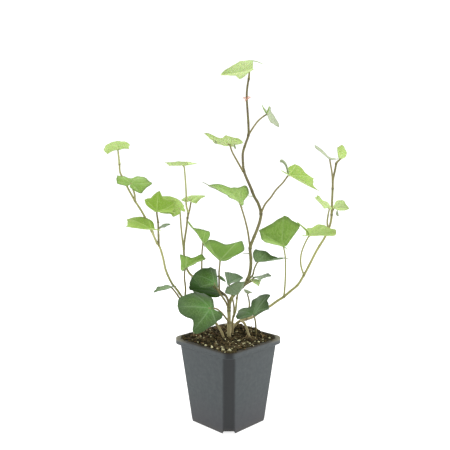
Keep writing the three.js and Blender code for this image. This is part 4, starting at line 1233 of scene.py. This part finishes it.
# %% Rolled lobes and drip tips
ROLLED = [
    ("dry", "0.7 1 1.2 1.5 1.7 1.1",
     "62.8 -30 275.2, 61.3 -31 280.8, 59.6 -32 285.8, 57.3 -33 289, 54.6 -34 290.5, 53.6 -34 289.3"),
    ("dry", "0.3 0.5 0.65 0.5", "-27.6 -27 268.7, -23.8 -27 266.9, -18.6 -26 263.8, -12.8 -26 261.5"),
    ("lime", "0.3 0.8 1.1 1.2 0.8",
     "77.1 20 222.2, 81.5 20 218.1, 86.2 21 214, 89.7 22 210.2, 91.6 22 205.4"),
    ("mid", "0.6 0.5 0.4 0.2", "21.5 13.8 398.2, 27.3 13.5 397.9, 32.2 13.5 396.8, 38.1 13.5 394.2"),
    ("mid", "0.3 0.8 0.8", "37.5 28 352.2, 39.8 29 347.6, 43.1 30 342.2"),
    ("mid", "0.3 0.8 0.8", "45.7 28 351.3, 44.8 29 346.9, 43.3 30 342.2"),
    ("dry", "0.5 1.2 0.9", "6.2 -19 307.3, 6.9 -19 304.8, 7.7 -19 303.1"),
    ("dry", "0.5 1 0.7", "-14.1 -20 311.7, -13.1 -20 309.4, -12.3 -20 308.3"),
    ("dry", "0.5 0.5 1.6 1.3", "125.4 35.7 235.1, 125.1 36 233, 125 35 229.7, 125.9 35 227.1"),
    ("dry", "1 0.7 0.55 0.4", "55.7 4 182.8, 60.1 4 183.2, 64 4 182.7, 68 4 181.7"),
    ("mid", "0.6 1.1 1.2 0.7", "-39.5 25 213.8, -42 25 216.4, -43.9 25 218.8, -45.3 25 221.4"),
    ("dry", "0.7 0.5 0.4", "28 -11 252.2, 24.8 -12 252.7, 21.3 -13 253"),
    ("dry", "0.7 0.5 0.4", "24 1.5 188.2, 20.7 3 188.2, 16.4 5 188.1"),
    ("dark", "0.6 1.6 1.9 1 0.7", "-2.9 6 156.1, -5.6 4 158.8, -7.8 3 160.8, -10.3 2 163, -12.6 1.8 162.8"),
    # This curl along a leaf's edge is dark with painted shade: it fills the shaded gap between two leaves.
    ("shadowed", "0.5 1.2 1.6 1.7 1.7 1.6 1.2 0.6", """
        -39 0.8 146.4, -35 0.2 145.7, -31 -1 144.8, -26.5 -2.8 143.9, -22.4 -4.7 143.2, -18.1 -5.5 142.4,
        -13.6 -5.5 141.8, -10 -4.5 141.6
    """),
]


def rolled(number, radii, route):
    route = smooth_route(route, 4)
    spots = np.linspace(0, len(radii) - 1, len(route))
    thick = np.interp(spots, range(len(radii)), radii)
    return tube(route, thick, 10, number, shade=np.full(len(route), 0.4), outward=np.full(len(route), 0.6))


names = sorted({name for name, _, _ in ROLLED})
made = join([rolled(names.index(name), numbers(radii), path(route)) for name, radii, route in ROLLED])
dress(make_object("rolled_lobes", made, [LEAF_FINISHES[name] for name in names]), "leaf_mid")
print("rolled lobes and tips:", len(ROLLED))

# %% [markdown]
# The floor is a pale sheet that glows a little, so it looks as white as the paper of a small photo studio.
# Two large soft lamps stand at the sides and one hangs above. The world is white too. It is darker in front
# of the plant than behind it, so that the leaves keep some shade.

# %% Floor and light
FLOOR_REACH = 20000
ROOM_LIGHT, FRONT_LIGHT = 1.2, 0.42
LAMPS = {
    "left_lamp": dict(place=(-1.3, 0.1, 0.6), aim=(0, 0, 0.15), size=(1.5, 1.2), power=14),
    "right_lamp": dict(place=(1.3, 0.1, 0.6), aim=(0, 0, 0.15), size=(1.5, 1.2), power=17),
    "top_lamp": dict(place=(0, 0.2, 1.7), aim=(0, 0, 0.2), size=(1.4, 1.4), power=16),
}


def soft_lamp(name, place, aim, size, power):
    lamp = bpy.data.lights.new(name, "AREA")
    lamp.shape, lamp.size, lamp.size_y, lamp.energy = "RECTANGLE", *size, power
    hung = bpy.data.objects.new(name, lamp)
    hung.location = place
    hung.rotation_euler = (Vector(aim) - Vector(place)).to_track_quat("-Z", "Y").to_euler()
    bpy.context.scene.collection.objects.link(hung)


corners = [(x * FLOOR_REACH, y * FLOOR_REACH, 0) for x, y in ((-1, -1), (1, -1), (1, 1), (-1, 1))]
paper = Finish("lit_table").surface(
    Base_Color=(0.4, 0.4, 0.4, 1), Roughness=0.9, Specular_IOR_Level=0.1,
    Emission_Color=(1, 1, 1, 1), Emission_Strength=0.82,
)
paper.cycles.emission_sampling = "NONE"
floor = make_object("floor", shape(corners, [(0, 1, 2, 3)]), [paper])
for name, settings in LAMPS.items():
    soft_lamp(name, **settings)
room = Finish("white_room", bpy.data.worlds)
toward_back = room.along(room.node("ShaderNodeTexCoord", output=0), "Y").ramp(-0.9, -0.1)
light = room.mix(toward_back, (*[FRONT_LIGHT] * 3, 1), (*[ROOM_LIGHT] * 3, 1))
backdrop = room.node("ShaderNodeBackground", {}, {"Color": light, "Strength": 1.0})
bpy.context.scene.world = room.done(backdrop, "ShaderNodeOutputWorld")
bpy.context.scene.view_settings.view_transform = "Standard"
print("lamps:", len(LAMPS))
